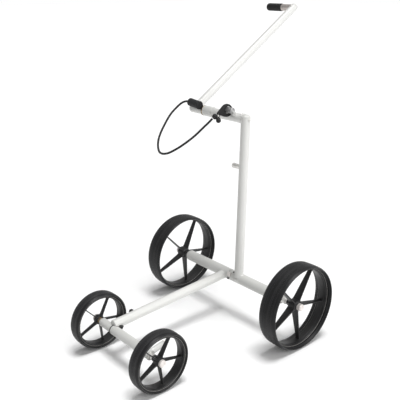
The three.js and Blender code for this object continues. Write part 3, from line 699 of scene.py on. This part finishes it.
turned("arm_screw_head", shifted([
    (0, 12), (2.2, 12), (2.2, 16.8), (5, 16.8, 0.3), (5, 18.2, 0.6), (3.6, 19.5, 0.8),
    (2.0, 19.6, 0.1), (1.8, 18.0, 0.1), (0, 18.0),
], POST_X), "steel", "main_frame", (0, *ARM), cad="arm_screw", seg=48)
turned("barrel_tube", [
    (0, -258), (6.5, -257.8, 8), (12.6, -255.9, 5), (15.5, -250.5, 5), (15.5, -161.8, 0.6),
    (13.5, -161.8, 0.3), (13.5, -252), (0, -254),
], "powder_coat", "handle", (0, *ARM), cad="handle_barrel", seg=112, sharp=60)

# ---------------------------------------------------------------- handle tube and grip
turned("handle_main_tube", [
    (13, 9), (15, 9), (15, HANDLE_LENGTH, 0.5), (13, HANDLE_LENGTH, 0.3),
], "powder_coat", "handle", *HANDLE_TUBE[1:], cad="handle_tube", seg=112)
weld("weld_handle", "handle", HANDLE_TUBE, BARREL_TUBE, size=3.0)
turned("handle_top_cap", shifted([
    (0, -14), (12.6, -14), (12.6, 0.4), (15, 0.4, 0.4), (14.6, 4.6, 2), (12.2, 9.6, 3),
    (7, 13, 5), (0, 14),
], HANDLE_LENGTH), "powder_coat", "handle", *HANDLE_TUBE[1:], cad="handle_cap", sharp=60)

# The grip lies across, in line with a point just short of the handle tube's end.
grip_along = HANDLE_LENGTH - 2
grip_origin = (0, ARM[0] + grip_along * math.cos(HANDLE_RISE),
               ARM[1] + grip_along * math.sin(HANDLE_RISE) - 0.5)
turned("grip_collar_tube", [
    (0, -314.6), (6.5, -314.6), (6.5, -294.2), (12.6, -294.2, 0.4), (13.4, -293.2, 0.4),
    (13.4, -284.6, 0.3), (12.9, -284.2, 0.2), (12.9, -283.2, 0.2), (13.4, -282.8, 0.3),
    (13.4, -268.4, 0.3), (12.9, -268.0, 0.2), (12.9, -266.8, 0.2), (13.4, -266.4, 0.3),
    (13.4, -240, 0.3), (0, -240),
], "collar_steel", "handle", grip_origin, cad="grip_collar")

RING_START, RING_STOP, RING_PITCH = -362.0, -300, 5.2
grip_profile = [(0, -373), (8.8, -372.9, 4), (13.2, -371.0, 3), (15.25, -366.2, 3.4)]
x = RING_START
while x < RING_STOP:  # shallow rings along the grip
    grip_profile += [(15.25, x, 0.4), (14.6, x + 0.7, 0.3), (14.6, x + 1.5, 0.3),
                     (15.25, x + 2.2, 0.4)]
    x += RING_PITCH
grip_profile += [(15.25, -296.4, 0.9), (13.8, -294.7, 0.6), (6.8, -294.7), (6.8, -315.4),
                 (0, -315.4)]
turned("grip_body", grip_profile, "grip_rubber", "handle", grip_origin, cad="grip", sharp=60)

# The bolt stands off the handle tube on the side where the CAD bolt lies.
bolt_low, bolt_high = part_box("grip_bolt")
bolt_way = (bolt_low + bolt_high) / 2 - at(*HANDLE_TUBE[1])
bolt_way = bolt_way - HANDLE_UP * bolt_way.dot(HANDLE_UP)
turned("grip_bolt_head", [
    (0, 15.2), (5, 15.2), (5, 17.6, 0.8), (3.8, 19.3, 0.6), (2.2, 19.5, 0.1), (2.0, 17.6, 0.1),
    (0, 17.6),
], "steel", "handle", Vector(HANDLE_TUBE[1]) + HANDLE_UP * (HANDLE_LENGTH - 9),
    bolt_way.normalized(), "grip_bolt", seg=48)

# ---------------------------------------------------------------- bag peg on the post
PEG_RADIUS = 8.5
peg_root = on_post(572.0)
turned("bag_peg_pin", [
    (0, -24), (7.6, -24, 1.4), (9.3, -22.2, 0.5), (9.3, -19.2, 0.5), (8.5, -18.2, 0.4),
    (8.5, -2.2, 0.3), (8.1, -1.6, 0.2), (8.1, -0.6, 0.2), (8.5, 0, 0.3), (8.5, 20), (0, 20),
], "steel", "main_frame", (0, *peg_root[1:]), cad="bag_peg", seg=80)
weld("weld_bag_peg", "main_frame", (PEG_RADIUS, peg_root, (-1, 0, 0)), POST_TUBE,
     size=1.8, seg=110)

# ---------------------------------------------------------------- cord sleeve and its saddle
SLEEVE_TILT = rad(54)
SLEEVE_OFF_ARM = 32
sleeve_left = Vector((-246.0, ARM[0] - SLEEVE_OFF_ARM * math.cos(SLEEVE_TILT),
                      ARM[1] + SLEEVE_OFF_ARM * math.sin(SLEEVE_TILT)))
sleeve_axis = (Vector((-185.0, -9.9, 763.8)) - sleeve_left).normalized()
turned("cord_sleeve_body", [
    (0, 1.8), (4.8, 1.8, 0.3), (5.3, 0.0, 0.5), (10.6, 0, 2.2), (14.5, 4.4, 3.2),
    (14.5, 8.6, 0.4), (14.0, 9.2, 0.3), (14.0, 10.2, 0.3), (14.5, 10.8, 0.4),
    (14.5, 51.4, 0.6), (14.7, 53.6, 0.8), (15.3, 57.0, 0.8), (15.4, 60.2, 0.6),
    (14.8, 61.1, 0.4), (11.8, 61.1, 0.5), (11.4, 60.0, 0.4), (0, 60.0),
], "soft_rubber", "handle", sleeve_left, sleeve_axis, "cord_sleeve")
saddle = piece("sleeve_saddle_block", [box((-215, -191), (-19.8, -13.2), (-9, 9))],
               "soft_rubber", "handle", "sleeve_saddle",
               Matrix.Translation(at(0, *ARM)) @ Matrix.Rotation(-SLEEVE_TILT, 4, "X"))
cut_with(saddle,
         drill(15.6, -260, -150, placed_along(at(0, *ARM), ACROSS), seg=96),
         drill(14.6, -20, 90, placed_along(at(*sleeve_left), sleeve_axis), seg=96))

# ---------------------------------------------------------------- hitch hook: a lug and a pin
LUG_RADIUS = 7.4
lug_root = (-15.4, *ARM)
lug_way = Vector((0, HITCH_PIN[0] - ARM[0], HITCH_PIN[1] - ARM[1]))
turned("hitch_lug", [
    (0, 13.6), (LUG_RADIUS, 13.6), (LUG_RADIUS, lug_way.length + 3.2, 3.2),
    (0, lug_way.length + 5.0),
], "dark_steel", "main_frame", lug_root, lug_way, "hitch_hook", seg=64, sharp=60)
turned("hitch_pin", [
    (0, -57.4), (3.0, -57.4, 0.3), (3.6, -58, 0.3), (8.4, -58, 0.9), (10.5, -56.0, 0.9),
    (10.5, -21, 0.2), (10.0, -20.4, 0.2), (10.0, -19.8), (10.5, -19.4, 0.2), (10.5, -9.4, 1.8),
    (0, -8.4),
], "dark_steel", "main_frame", (0, *HITCH_PIN), seg=80)
weld("weld_hitch_lug", "main_frame", (LUG_RADIUS, lug_root, lug_way), ARM_TUBE,
     size=1.8, seg=100)


# ---------------------------------------------------------------- cord eye on the hitch pin
def eye_outline(count):
    """A big arc and a small arc at the tail's tip, with straight sides between them."""
    big, shift, tip, tail = 22.8, 5.5, 4.6, 32.4
    half = math.acos((big - tip) / tail)
    big_count = int(count * 0.72)
    tip_count = count - big_count
    points = []
    for i in range(big_count):
        t = half + (2 * math.pi - 2 * half) * i / (big_count - 1)
        points.append((shift + big * math.cos(t), big * math.sin(t)))
    for i in range(tip_count):
        t = -half + 2 * half * (i + 0.5) / tip_count
        points.append((shift + tail + tip * math.cos(t), tip * math.sin(t)))
    return points


def eye_ring():
    """A rounded flat ring whose outline runs out into a tail."""
    hole_radius = 11.9
    sections = []
    for x, y in eye_outline(120):
        hole = Vector((x - 1.0, y)).normalized() * hole_radius
        outward = Vector((x, y)) - hole
        width = outward.length
        outward = outward / width
        # (distance from the hole, height) of the section's lower half
        lower = [(0.0, -1.6), (0.5, -2.9), (1.6, -3.5), (width - 2.0, -3.3),
                 (width - 0.6, -2.4), (width, -1.0)]
        section = lower + [(distance, -z) for distance, z in reversed(lower)]
        sections.append([(*(hole + outward * distance), z) for distance, z in section])
    return loft(sections, closed=True)


eye_tail = Vector((-0.3, -0.922, -0.245)).normalized()
eye_normal = Vector((0.951, -0.309, 0.0))
eye_normal = (eye_normal - eye_tail * eye_normal.dot(eye_tail)).normalized()
eye_place = Matrix((eye_tail, eye_normal.cross(eye_tail), eye_normal)).transposed().to_4x4()
eye_place.translation = at(-34, *HITCH_PIN)
eye = piece("cord_eye_ring", [eye_ring()], "soft_rubber", "main_frame", "cord_eye", eye_place,
            sharp=70)
smooth = eye.modifiers.new("smooth", "SUBSURF")
smooth.levels = smooth.render_levels = 1

# ---------------------------------------------------------------- cord ball and toggle
BALL_RADIUS = 9.8
ball_profile = [(0, -BALL_RADIUS * 0.90), (BALL_RADIUS * 0.30, -BALL_RADIUS * 0.93, 0.4)]
for i in range(1, 24):
    t = math.pi * (0.11 + 0.78 * i / 24)
    parting_line = 0.18 if i == 12 else 0
    ball_profile.append((BALL_RADIUS * math.sin(t) + parting_line, -BALL_RADIUS * math.cos(t)))
ball_profile += [(BALL_RADIUS * 0.30, BALL_RADIUS * 0.93, 0.4), (0, BALL_RADIUS * 0.90)]
ball_axis = (Vector((-53.3, -68.4, 742)) - Vector((-57.2, -79.5, 732))).normalized()
turned("cord_ball_bead", ball_profile, "soft_rubber", "main_frame", (-47, -60.5, 751),
       ball_axis, "cord_ball", seg=56, sharp=60)

toggle_turn = Matrix.Rotation(rad(25), 3, "Y") @ Matrix.Rotation(rad(-35), 3, "Z")
turned("cord_toggle_bead", [
    (0, -7.2), (2.6, -7.4, 0.4), (5.0, -8, 0.9), (8.4, -5.0, 2.8), (8.4, -0.8, 0.2),
    (7.8, -0.5, 0.2), (7.8, 0.5, 0.2), (8.4, 0.8, 0.2), (8.4, 5.0, 2.8), (5.0, 8, 0.9),
    (2.6, 7.4, 0.4), (0, 7.2),
], "soft_rubber", "main_frame", (-31.8, -58.5, 740.4), toggle_turn @ Vector(ACROSS),
    "cord_toggle", seg=56)

# ---------------------------------------------------------------- the braided elastic cord
# (x, y, z) along the cord's centre, from the sleeve to the ball
CORD = [
    (-243.9, -6.4, 768.9), (-246.6, -6.4, 768.9), (-256, -6.8, 768.7), (-266, -7.5, 767.4),
    (-277.5, -9.4, 763.6), (-287, -13.8, 757.4), (-293.2, -23.5, 747.6), (-297.0, -40.5, 733.3),
    (-296.1, -55.5, 721.9), (-291.0, -72.9, 708.9), (-282.5, -92.1, 695.0),
    (-265.3, -125.4, 671.1), (-243.9, -154.1, 651.2), (-215.4, -179.0, 635.3),
    (-184.6, -197.5, 624.6), (-167.8, -202.4, 622.6), (-150.8, -203.4, 624.2),
    (-130.6, -198.7, 630.3), (-106.1, -181.2, 647.0), (-85.7, -157.2, 668.3),
    (-70.2, -129.2, 692.1), (-61.9, -98.5, 717.0), (-57.2, -79.5, 732.0), (-52.0, -67.5, 744.5),
]


def spline(points, step):
    """A centripetal Catmull-Rom curve through the points, resampled evenly."""
    p = [Vector(q) for q in points]
    p = [p[0] * 2 - p[1]] + p + [p[-1] * 2 - p[-2]]
    dense = []
    for i in range(1, len(p) - 2):
        p0, p1, p2, p3 = p[i - 1:i + 3]
        t0 = 0.0
        t1 = t0 + math.sqrt((p1 - p0).length)
        t2 = t1 + math.sqrt((p2 - p1).length)
        t3 = t2 + math.sqrt((p3 - p2).length)
        for k in range(24):
            t = t1 + (t2 - t1) * k / 24

            def between(a, b, start, end):
                return a * ((end - t) / (end - start)) + b * ((t - start) / (end - start))

            middle = between(p1, p2, t1, t2)
            before = between(between(p0, p1, t0, t1), middle, t0, t2)
            after = between(middle, between(p2, p3, t2, t3), t1, t3)
            dense.append(between(before, after, t1, t2))
    dense.append(p[-2])
    out, carry = [dense[0]], 0.0
    for a, b in zip(dense, dense[1:]):
        left = (b - a).length
        while carry + left >= step:
            a = a.lerp(b, (step - carry) / left)
            out.append(a)
            left = (b - a).length
            carry = 0.0
        carry += left
    return out


def swept(path, count, radius_at):
    """A round section carried along the path; radius_at takes the station and the angle."""
    side = Vector((0, 0, 1))
    sections = []
    for i, centre in enumerate(path):
        tangent = (path[min(i + 1, len(path) - 1)] - path[max(i - 1, 0)]).normalized()
        side = (side - tangent * side.dot(tangent)).normalized()
        up = tangent.cross(side)
        ring = []
        for k in range(count):
            angle = 2 * math.pi * k / count
            way = side * math.cos(angle) + up * math.sin(angle)
            ring.append(tuple(centre + way * radius_at(i, angle)))
        sections.append(ring)
    return loft(sections)


CORD_STEP = 0.55


def braid_radius(i, angle):
    """Two sets of four strands wound opposite ways, passing over and under each other."""
    wind = i * CORD_STEP * 0.80
    u, v = 4 * angle + wind, 4 * angle - wind
    over = 0.5 + 0.5 * math.sin(u) * math.sin(v)
    lump = max(abs(math.cos(u)) * (0.55 + 0.45 * over),
               abs(math.cos(v)) * (0.55 + 0.45 * (1 - over)))
    return 3.50 + 0.50 * lump


cord = piece("elastic_cord_braid", [swept(spline(CORD, CORD_STEP), 32, braid_radius)], "cord",
             None, "elastic_cord", sharp=80)
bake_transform(cord)

# A short rubber link from the eye's tail to the toggle, and the crimp ring beside it.
LINK = [(-45.5, -48.5, 760.0), (-41.5, -50.0, 757.5), (-37.6, -52.2, 753.0),
        (-34.4, -55.0, 748.0), (-32.2, -58.0, 742.5)]
link_part = swept(spline(LINK, 0.8), 20, lambda i, angle: 3.0 * (1 + 0.05 * math.sin(i * 1.1)))
piece("cord_link_strand", [link_part], "soft_rubber", "main_frame", sharp=70)
turned("cord_crimp_ring", [(3.4, -1.2, 0.3), (6.6, -1.2, 0.7), (6.6, 1.2, 0.7), (3.4, 1.2, 0.3)],
       "steel", "main_frame", (-40.4, -52.6, 750.6), (0.655, 0.755, -0.10), seg=48)

# ---------------------------------------------------------------- beam
beam_end = math.hypot(BEAM_DROP, BEAM_REACH) - 4.5
beam = turned("beam_main_tube", [(0, 14), (16.5, 14), (16.5, beam_end, 3.2), (0, beam_end)],
              "powder_coat", "front_beam", *BEAM_TUBE[1:], cad="beam_tube", seg=112)
front_place = placed_along(at(0, *FRONT), ACROSS)
cut_with(beam,
         drill(17.3, -44.4, 60, front_place, seg=128),
         drill(14.2, -120, -40, front_place, seg=128),
         drill(19.2, -60, 60, placed_along(at(BEAM_X, *REAR), ACROSS), seg=128))
weld("weld_beam_rear", "front_beam", BEAM_TUBE, REAR_TUBE)

# A bumper on the beam's upper left side.
STOP_ALONG, STOP_OUT, STOP_TILT = 424, 18.0, rad(28)
turned("beam_stop_bumper", [
    (0, -3), (8.5, -3), (8.5, 2.0, 0.8), (7.4, 2.7, 0.3), (6.9, 4.6, 1.6), (4.4, 7.0, 1.6),
    (0, 7.6),
], "soft_rubber", "front_beam", (
    BEAM_X - STOP_OUT * math.cos(STOP_TILT),
    -STOP_ALONG * math.cos(BEAM_ANGLE),
    BEAM_REAR_Z - STOP_ALONG * math.sin(BEAM_ANGLE) + STOP_OUT * math.sin(STOP_TILT),
), Matrix.Rotation(STOP_TILT, 3, "Y") @ Vector((-1, 0, 0)), "beam_stop", seg=64)

# ---------------------------------------------------------------- front axle and bag arm
turned("front_axle_left", tube(14.5, 2, -CORNERS["front_left"].tube_end, -45.8, 0.5),
       "powder_coat", "front_beam", (0, *FRONT), cad="front_axle_left_tube")
turned("front_axle_right", tube(FRONT_TUBE[0], 2, -42.2, CORNERS["front_right"].tube_end),
       "powder_coat", "front_right_arm", (0, *FRONT), cad="front_axle_right_tube")
turned("front_o_ring", [
    (12.6, -45.6), (16.4, -45.6, 0.5), (17.2, -44, 1.2), (16.4, -42.4, 0.5), (12.6, -42.4),
], "soft_rubber", "front_beam", (0, *FRONT), cad="front_seal_ring")
turned("bag_arm_tube", [(8.4, 10), (10, 10), (10, 61.6, 0.5), (8.4, 61.6, 0.3)],
       "powder_coat", "front_right_arm", *BAG_ARM_TUBE[1:], cad="bag_support_arm", seg=88)
weld("weld_bag_arm", "front_right_arm", BAG_ARM_TUBE, FRONT_TUBE, size=2.2, seg=120)
turned("bag_arm_end_cap", [
    (0, 54), (7.6, 54), (7.6, 62.3), (10, 62.3, 0.4), (10, 64.6, 0.9), (8.6, 66.5, 0.7),
    (3.4, 66.6, 0.2), (3.0, 65.8, 0.2), (0, 65.8),
], "satin_cap", "front_right_arm", *BAG_ARM_TUBE[1:], cad="bag_arm_cap", seg=80)


# ---------------------------------------------------------------- stub axles and lock nuts
def stub(corner_name, plug, flange, length, boss=0):
    """A plug in the axle tube, a flange of this length, an optional boss, and a shaft."""
    corner = CORNERS[corner_name]
    start, hub = corner.tube_end, corner.hub_from
    face = start + length
    profile = [
        (0, start - 22), (plug, start - 22), (plug, start + 0.3), (flange, start + 0.3, 0.4),
        (flange, face - 1.5, 0.6), (flange - 1.3, face, 0.5),
    ]
    if boss:
        profile += [
            (9.6, face, 0.4), (9.6, face + 1.8, 0.2), (boss, face + 2.3, 0.5),
            (boss, hub - 20.5, 0.4), (boss - 0.7, hub - 20, 0.2), (boss - 0.7, hub - 19.4, 0.2),
            (boss, hub - 19.0, 0.4), (boss - 1.2, hub - 18, 0.5), (9, hub - 18, 0.3),
        ]
    else:
        profile += [(9, face, 0.8)]
    profile += [
        (9, hub - 12.6, 0.5), (5.9, hub - 12.5, 0.3), (5.9, corner.hub_to + 3),
        (5, corner.hub_to + 4.2), (0, corner.hub_to + 4.2),
    ]
    obj = turned(corner_name + "_stub", mirrored(profile, corner.side), "steel", corner.body,
                 (0, *corner.axle), cad=corner_name + "_stub_axle", seg=72)
    # Two notches in the flange's outer face.
    x = corner.side * face
    cut_with(obj, *[
        tool(box((x - 2, x + 2), sorted((k * (flange - 4.7), k * (flange - 1.7))), (-5, 5)),
             Matrix.Translation(at(0, *corner.axle)))
        for k in (1, -1)
    ])


def hexagonal(radius, angle):
    """Trims a radius to the nut's flats."""
    if radius < 8.5:
        return radius
    off_flat = (angle + math.pi / 6) % (math.pi / 3) - math.pi / 6
    return min(radius, 10.3 / math.cos(off_flat))


def lock_nut(corner_name):
    corner = CORNERS[corner_name]
    profile = shifted([
        (7.3, -12), (9.9, -12, 0.4), (11.7, -10.6), (11.7, -2.4), (9.9, -0.9, 0.4), (7.3, -0.9),
    ], corner.hub_from)
    turned(corner_name + "_nut", mirrored(profile, corner.side), "black_fittings", corner.body,
           (0, *corner.axle), cad=corner_name + "_lock_nut", sharp=20, radius_at=hexagonal)


stub("rear_right", plug=17.4, flange=18.4, length=8, boss=12)
grub_screw = lathe([
    (0, 11.3), (2.9, 11.3), (2.9, 12.3, 0.3), (1.5, 12.35, 0.1), (1.3, 11.7, 0.1), (0, 11.7),
], 32)
grub_place = placed_along(Vector((244.6, 0, 0)), (0, -0.95, 0.31))
piece("stub_grub_screw", [moved(grub_screw, grub_place)], "black_fittings", "main_frame",
      matrix=Matrix.Translation(at(0, *REAR)))
stub("rear_left", plug=17.4, flange=14, length=10)
stub("front_right", plug=13.4, flange=12, length=7)
stub("front_left", plug=12.0, flange=11.4, length=7)
for corner_name in ("rear_right", "rear_left", "front_right"):
    lock_nut(corner_name)

# ---------------------------------------------------------------- wheels
# x is measured from the wheel's middle: "in" is toward the trolley, "out" away from it.
HUB_BORE = 9.5
SPOKE_COUNT, FIRST_SPOKE = 5, 43
# Fractions of a spoke's length, closer together where it flares into the hub and the rim
SPOKE_STATIONS = [0, 0.04, 0.07, 0.10, 0.14, 0.2, 0.3, 0.45, 0.6, 0.75, 0.85, 0.91, 0.945,
                  0.97, 0.985, 1.0]

REAR_WHEEL = dict(
    radius=REAR[1], seg=144, rim_inner=135.3, rim_outer=138.2, rim_half=18.0,
    hub_radius=20.0, hub_in=26.0, hub_out=8.5,
    spoke_thickness=3.6, root_in=25.0, root_out=6.0, tip_in=8.2, tip_out=7.2,
    # The sidewall ring's (radius, x) carries a painted highlight.
    tread_half=22.5, crown=0.7, ribs=11, mould_line=(143.9, 36.0),
    knob_radius=12.5, knob_length=15.5,
    # (radius, x, fillet) from the rim to the tread
    sidewall=[
        (139.0, 21.0, 0.5), (139.3, 24.5, 0.8), (140.0, 27.6, 1.4), (140.6, 27.9, 0.3),
        (140.9, 29.0, 0.3), (141.8, 32.2, 0.8), (142.3, 31.9, 0.2), (142.7, 32.5, 0.2),
        (142.9, 34.2, 0.4), (144.2, 36.2, 1.2), (145.3, 35.6, 0.8), (145.6, 34.5, 0.2),
        (146.1, 34.4, 0.2), (146.7, 33.4, 0.6), (147.0, 32.3, 0.2), (147.5, 31.8, 0.2),
        (148.2, 29.4, 0.8), (148.5, 27.9, 0.2), (148.9, 27.4, 0.2), (149.2, 24.6, 0.6),
    ],
)
FRONT_WHEEL = dict(
    radius=FRONT[1], seg=120, rim_inner=83.0, rim_outer=87.6, rim_half=16.5,
    hub_radius=16.5, hub_in=12.5, hub_out=11.5,
    spoke_thickness=3.3, root_in=14.0, root_out=7.0, tip_in=5.5, tip_out=7.6,
    tread_half=16.0, crown=0.6, ribs=8, mould_line=(94.3, 23.4),
    knob_radius=12.2, knob_length=10.5,
    sidewall=[
        (88.4, 18.0, 0.5), (88.7, 19.4, 0.6), (89.6, 21.0, 0.8), (90.2, 20.9, 0.2),
        (90.5, 21.6, 0.3), (91.8, 22.8, 0.8), (92.3, 22.4, 0.2), (92.7, 22.5, 0.2),
        (92.9, 23.2, 0.3), (94.6, 23.5, 1.0), (95.9, 22.8, 0.6), (96.2, 22.0, 0.2),
        (96.7, 21.8, 0.2), (97.5, 20.6, 0.6), (97.8, 19.8, 0.2), (98.2, 19.4, 0.2),
        (98.9, 17.8, 0.5),
    ],
)


def rim_profile(w):
    inner, outer, half = w.rim_inner, w.rim_outer, w.rim_half
    middle = max(w.tip_in, w.tip_out) + 1.4
    return [
        (inner + 0.4, -half, 0.6), (outer + 0.6, -half - 0.7, 0.7),
        (outer + 0.2, -half + 1.8, 0.4), (outer - 0.2, -half + 3), (outer - 0.2, half - 3),
        (outer + 0.2, half - 1.8, 0.4), (outer + 0.9, half + 0.4, 0.7),
        (outer - 0.2, half + 1.5, 0.8), (inner + 0.5, half + 0.9, 0.8),
        (inner - 0.6, half - 2.4, 0.9), (inner + 0.3, half - 4.6, 1.4),
        (inner - 0.1, middle + 0.6, 0.5), (inner - 1.3, middle - 0.6, 0.6), (inner - 1.5, 0),
        (inner - 1.3, -middle + 0.6, 0.6), (inner - 0.1, -middle - 0.6, 0.5),
    ]


def hub_profile(w):
    start, end, radius = -w.hub_in, w.hub_out, w.hub_radius
    shoulder = 6.0 if w.hub_in > 8 else 3.2
    return [
        (HUB_BORE, start, 0.3), (radius * 0.66, start, 0.8), (radius * 0.86, start + 2.6, 2.0),
        (radius, start + shoulder, 2.0), (radius, end - 3.4, 1.6),
        (radius * 0.86, end - 0.6, 1.2), (radius * 0.78, end - 0.4, 0.3),
        (radius * 0.76, end - 1.2, 0.3), (radius * 0.70, end - 1.2, 0.3),
        (radius * 0.68, end, 0.4), (HUB_BORE, end, 0.3),
    ]


def spoke(w, angle, side):
    """One thin plate, deep along the axle, with rounded edges and flared ends."""
    start, end = w.hub_radius * 0.70, w.rim_inner + 1.2
    sections = []
    for part_way in SPOKE_STATIONS:
        radius = start + (end - start) * part_way
        hub_flare = math.exp(-max(radius - w.hub_radius, 0) / 2.6)
        rim_flare = math.exp(-max(w.rim_inner - radius, 0) / 2.4)
        x_in = w.root_in + (w.tip_in - w.root_in) * part_way + 1.6 * rim_flare
        x_out = w.root_out + (w.tip_out - w.root_out) * part_way + 1.6 * rim_flare
        half = w.spoke_thickness / 2 + 1.6 * hub_flare + 2.6 * rim_flare
        edge = min(half * 0.92, 1.5)
        loop = []
        for x, y, first in ((x_out - edge, half - edge, 0), (-x_in + edge, half - edge, 90),
                            (-x_in + edge, -half + edge, 180), (x_out - edge, -half + edge, 270)):
            for k in range(5):
                a = rad(first + 90 * k / 4)
                loop.append((side * (x + edge * math.cos(a)), y + edge * math.sin(a), radius))
        sections.append(loop)
    return moved(loft(sections), Matrix.Rotation(rad(angle), 4, "X"))


def tyre_profile(w):
    """Ringed sidewalls and a crowned tread with fine ribs."""
    def crowned(x):
        return w.radius - w.crown * (abs(x) / w.tread_half) ** 2.4

    pitch = 2 * w.tread_half / w.ribs
    tread = []
    for i in range(w.ribs):
        x = -w.tread_half + 2 * w.tread_half * (i + 0.5) / w.ribs
        tread += [(crowned(x), x - pitch * 0.36, 0.25), (crowned(x), x + pitch * 0.36, 0.25)]
        if i < w.ribs - 1:
            groove = x + pitch / 2
            floor_radius = crowned(groove) - 0.45
            tread += [(floor_radius, groove - pitch * 0.06, 0.15),
                      (floor_radius, groove + pitch * 0.06, 0.15)]
    bead, bead_x = w.rim_outer + 0.5, w.rim_half + 1.4
    return ([(bead, -bead_x, 0.4)] + mirrored(w.sidewall, -1) + tread
            + w.sidewall[::-1] + [(bead, bead_x, 0.4)])


def knob_profile(w):
    """A barrel with a waist groove, a chamfered edge and a dished face."""
    radius, length = w.knob_radius, w.knob_length
    return shifted([
        (0, 4.8), (6.8, 4.8), (6.8, 0), (radius - 1, 0, 0.2), (radius, 0.9, 0.3),
        (radius, length * 0.22, 0.4), (radius - 0.8, length * 0.26, 0.3),
        (radius - 0.8, length * 0.30, 0.3), (radius, length * 0.34, 0.4),
        (radius, length - 3.4, 1.0), (radius - 2.4, length - 0.6, 0.9),
        (radius - 4.6, length - 0.5, 0.6), (radius - 5.6, length - 1.5, 0.8),
        (0, length - 1.9),
    ], w.hub_out + 0.5)


def wheel(corner_name, **sizes):
    corner, w = CORNERS[corner_name], SimpleNamespace(**sizes)
    side, body = corner.side, corner_name + "_wheel"
    place = Matrix.Translation(at(side * corner.wheel, *corner.axle))

    def turn(profile, seg=w.seg):
        return lathe(mirrored(profile, side), seg)

    spokes = [spoke(w, FIRST_SPOKE + 360 // SPOKE_COUNT * k, side) for k in range(SPOKE_COUNT)]
    piece(corner_name + "_moulding", [turn(rim_profile(w)), turn(hub_profile(w), 80)] + spokes,
          "moulded_black", body, body, place, sharp=38)

    # The lip on each edge of the rim, between the rim and the tyre, in grey: a painted highlight
    # along the rim's edge.
    outer, half = w.rim_outer, w.rim_half
    piece(corner_name + "_rim_lip_painted_highlight", [turn([
        (outer - 0.1, k * (half + 1.2), 0.3), (outer + 0.9, k * (half + 1.2), 0.3),
        (outer + 0.9, k * (half + 2.5), 0.5), (outer - 0.1, k * (half + 2.5), 0.5),
    ]) for k in (1, -1)], "rim_lip_painted_highlight", body, matrix=place, sharp=60)

    # A fine raised ring on the widest part of each sidewall, lighter than the tyre: a painted
    # highlight along the shoulder.
    radius, x = w.mould_line
    piece(corner_name + "_mould_line", [turn([
        (radius - 0.5, k * (x - 0.6), 0.2), (radius + 0.5, k * (x - 0.6), 0.2),
        (radius + 0.5, k * (x + 0.5), 0.4), (radius - 0.5, k * (x + 0.5), 0.4),
    ]) for k in (1, -1)], "mould_line", body, matrix=place, sharp=60)

    piece(corner_name + "_tyre_tread", [turn(tyre_profile(w))], "tyre_rubber", body,
          corner_name + "_tyre", place, sharp=40)
    piece(corner_name + "_knob_body", [turn(knob_profile(w), 96)], "satin_cap",
          corner_name + "_knob", corner_name + "_release_knob", place, sharp=38)


wheel("rear_right", **REAR_WHEEL)
wheel("rear_left", **REAR_WHEEL)
wheel("front_right", **FRONT_WHEEL)
wheel("front_left", **{**FRONT_WHEEL, "hub_in": 6.0, "root_in": 10.0})

# ---------------------------------------------------------------- CAD nodes that still show
slots = {row["node"]: row["material_slot"] for row in frame["record"]["subparts"]}
for name, obj in frame["nodes"].items():
    if obj.hide_render:
        continue
    obj.data.materials.clear()
    obj.data.materials.append(MATERIALS[slots[name]])
    shade_smooth(obj.data)

# ---------------------------------------------------------------- floor (metres from here on)
scene = bpy.context.scene
FLOOR_HALF = 30.0
floor_mesh = bpy.data.meshes.new("floor")
floor_mesh.from_pydata([
    (-FLOOR_HALF, -FLOOR_HALF, 0), (FLOOR_HALF, -FLOOR_HALF, 0),
    (FLOOR_HALF, FLOOR_HALF, 0), (-FLOOR_HALF, FLOOR_HALF, 0),
], [], [(0, 1, 2, 3)])
floor = bpy.data.objects.new("floor", floor_mesh)
scene.collection.objects.link(floor)
floor_material = bpy.data.materials.new("floor")
floor_material.use_nodes = True
floor_inputs = floor_material.node_tree.nodes["Principled BSDF"].inputs
floor_inputs["Base Color"].default_value = (0.955, 0.955, 0.955, 1)
floor_inputs["Roughness"].default_value = 0.9
floor_inputs["Specular IOR Level"].default_value = 0.1
floor_mesh.materials.append(floor_material)


# ---------------------------------------------------------------- world and lights
def build_world(diffuse, reflected):
    """A white world: full strength to the camera, dimmer in reflections and as light."""
    world = bpy.data.worlds.new("studio")
    scene.world = world
    world.use_nodes = True
    nodes, links = world.node_tree.nodes, world.node_tree.links
    background = nodes["Background"]
    background.inputs["Color"].default_value = (1.0, 1.0, 1.0, 1)
    ray = nodes.new("ShaderNodeLightPath")
    glossy = nodes.new("ShaderNodeMapRange")
    links.new(ray.outputs["Is Glossy Ray"], glossy.inputs["Value"])
    glossy.inputs["To Min"].default_value = diffuse
    glossy.inputs["To Max"].default_value = reflected
    strength = nodes.new("ShaderNodeMath")
    strength.operation = "MAXIMUM"
    links.new(ray.outputs["Is Camera Ray"], strength.inputs[0])
    links.new(glossy.outputs["Result"], strength.inputs[1])
    links.new(strength.outputs["Value"], background.inputs["Strength"])


def sun(name, toward, power, spread):
    """toward points from the trolley to the light; spread is its angle in degrees."""
    light = bpy.data.lights.new(name, "SUN")
    light.energy = power
    light.angle = rad(spread)
    light.color = (1, 1, 1)
    obj = bpy.data.objects.new(name, light)
    scene.collection.objects.link(obj)
    obj.rotation_mode = "QUATERNION"
    obj.rotation_quaternion = Vector(toward).to_track_quat("Z", "Y")


build_world(diffuse=0.22, reflected=0.55)
sun("overhead", toward=(0.10, 0.05, 1.0), power=2.35, spread=24)
sun("from_right", toward=(1.0, 0.22, 0.30), power=2.3, spread=60)

# ---------------------------------------------------------------- camera
lens = bpy.data.cameras.new("camera")
lens.lens = 57.15
lens.sensor_width = 36
lens.clip_start, lens.clip_end = 0.05, 60
camera = bpy.data.objects.new("camera", lens)
scene.collection.objects.link(camera)
camera_at = at(1535.69, -1501.21, 1186.99)
look_at = at(-225.0, 26.2, 384.4)
camera.location = camera_at
camera.rotation_mode = "QUATERNION"
camera.rotation_quaternion = (look_at - camera_at).to_track_quat("-Z", "Y")
scene.camera = camera

scene.view_settings.view_transform = "Standard"
scene.view_settings.look = "None"
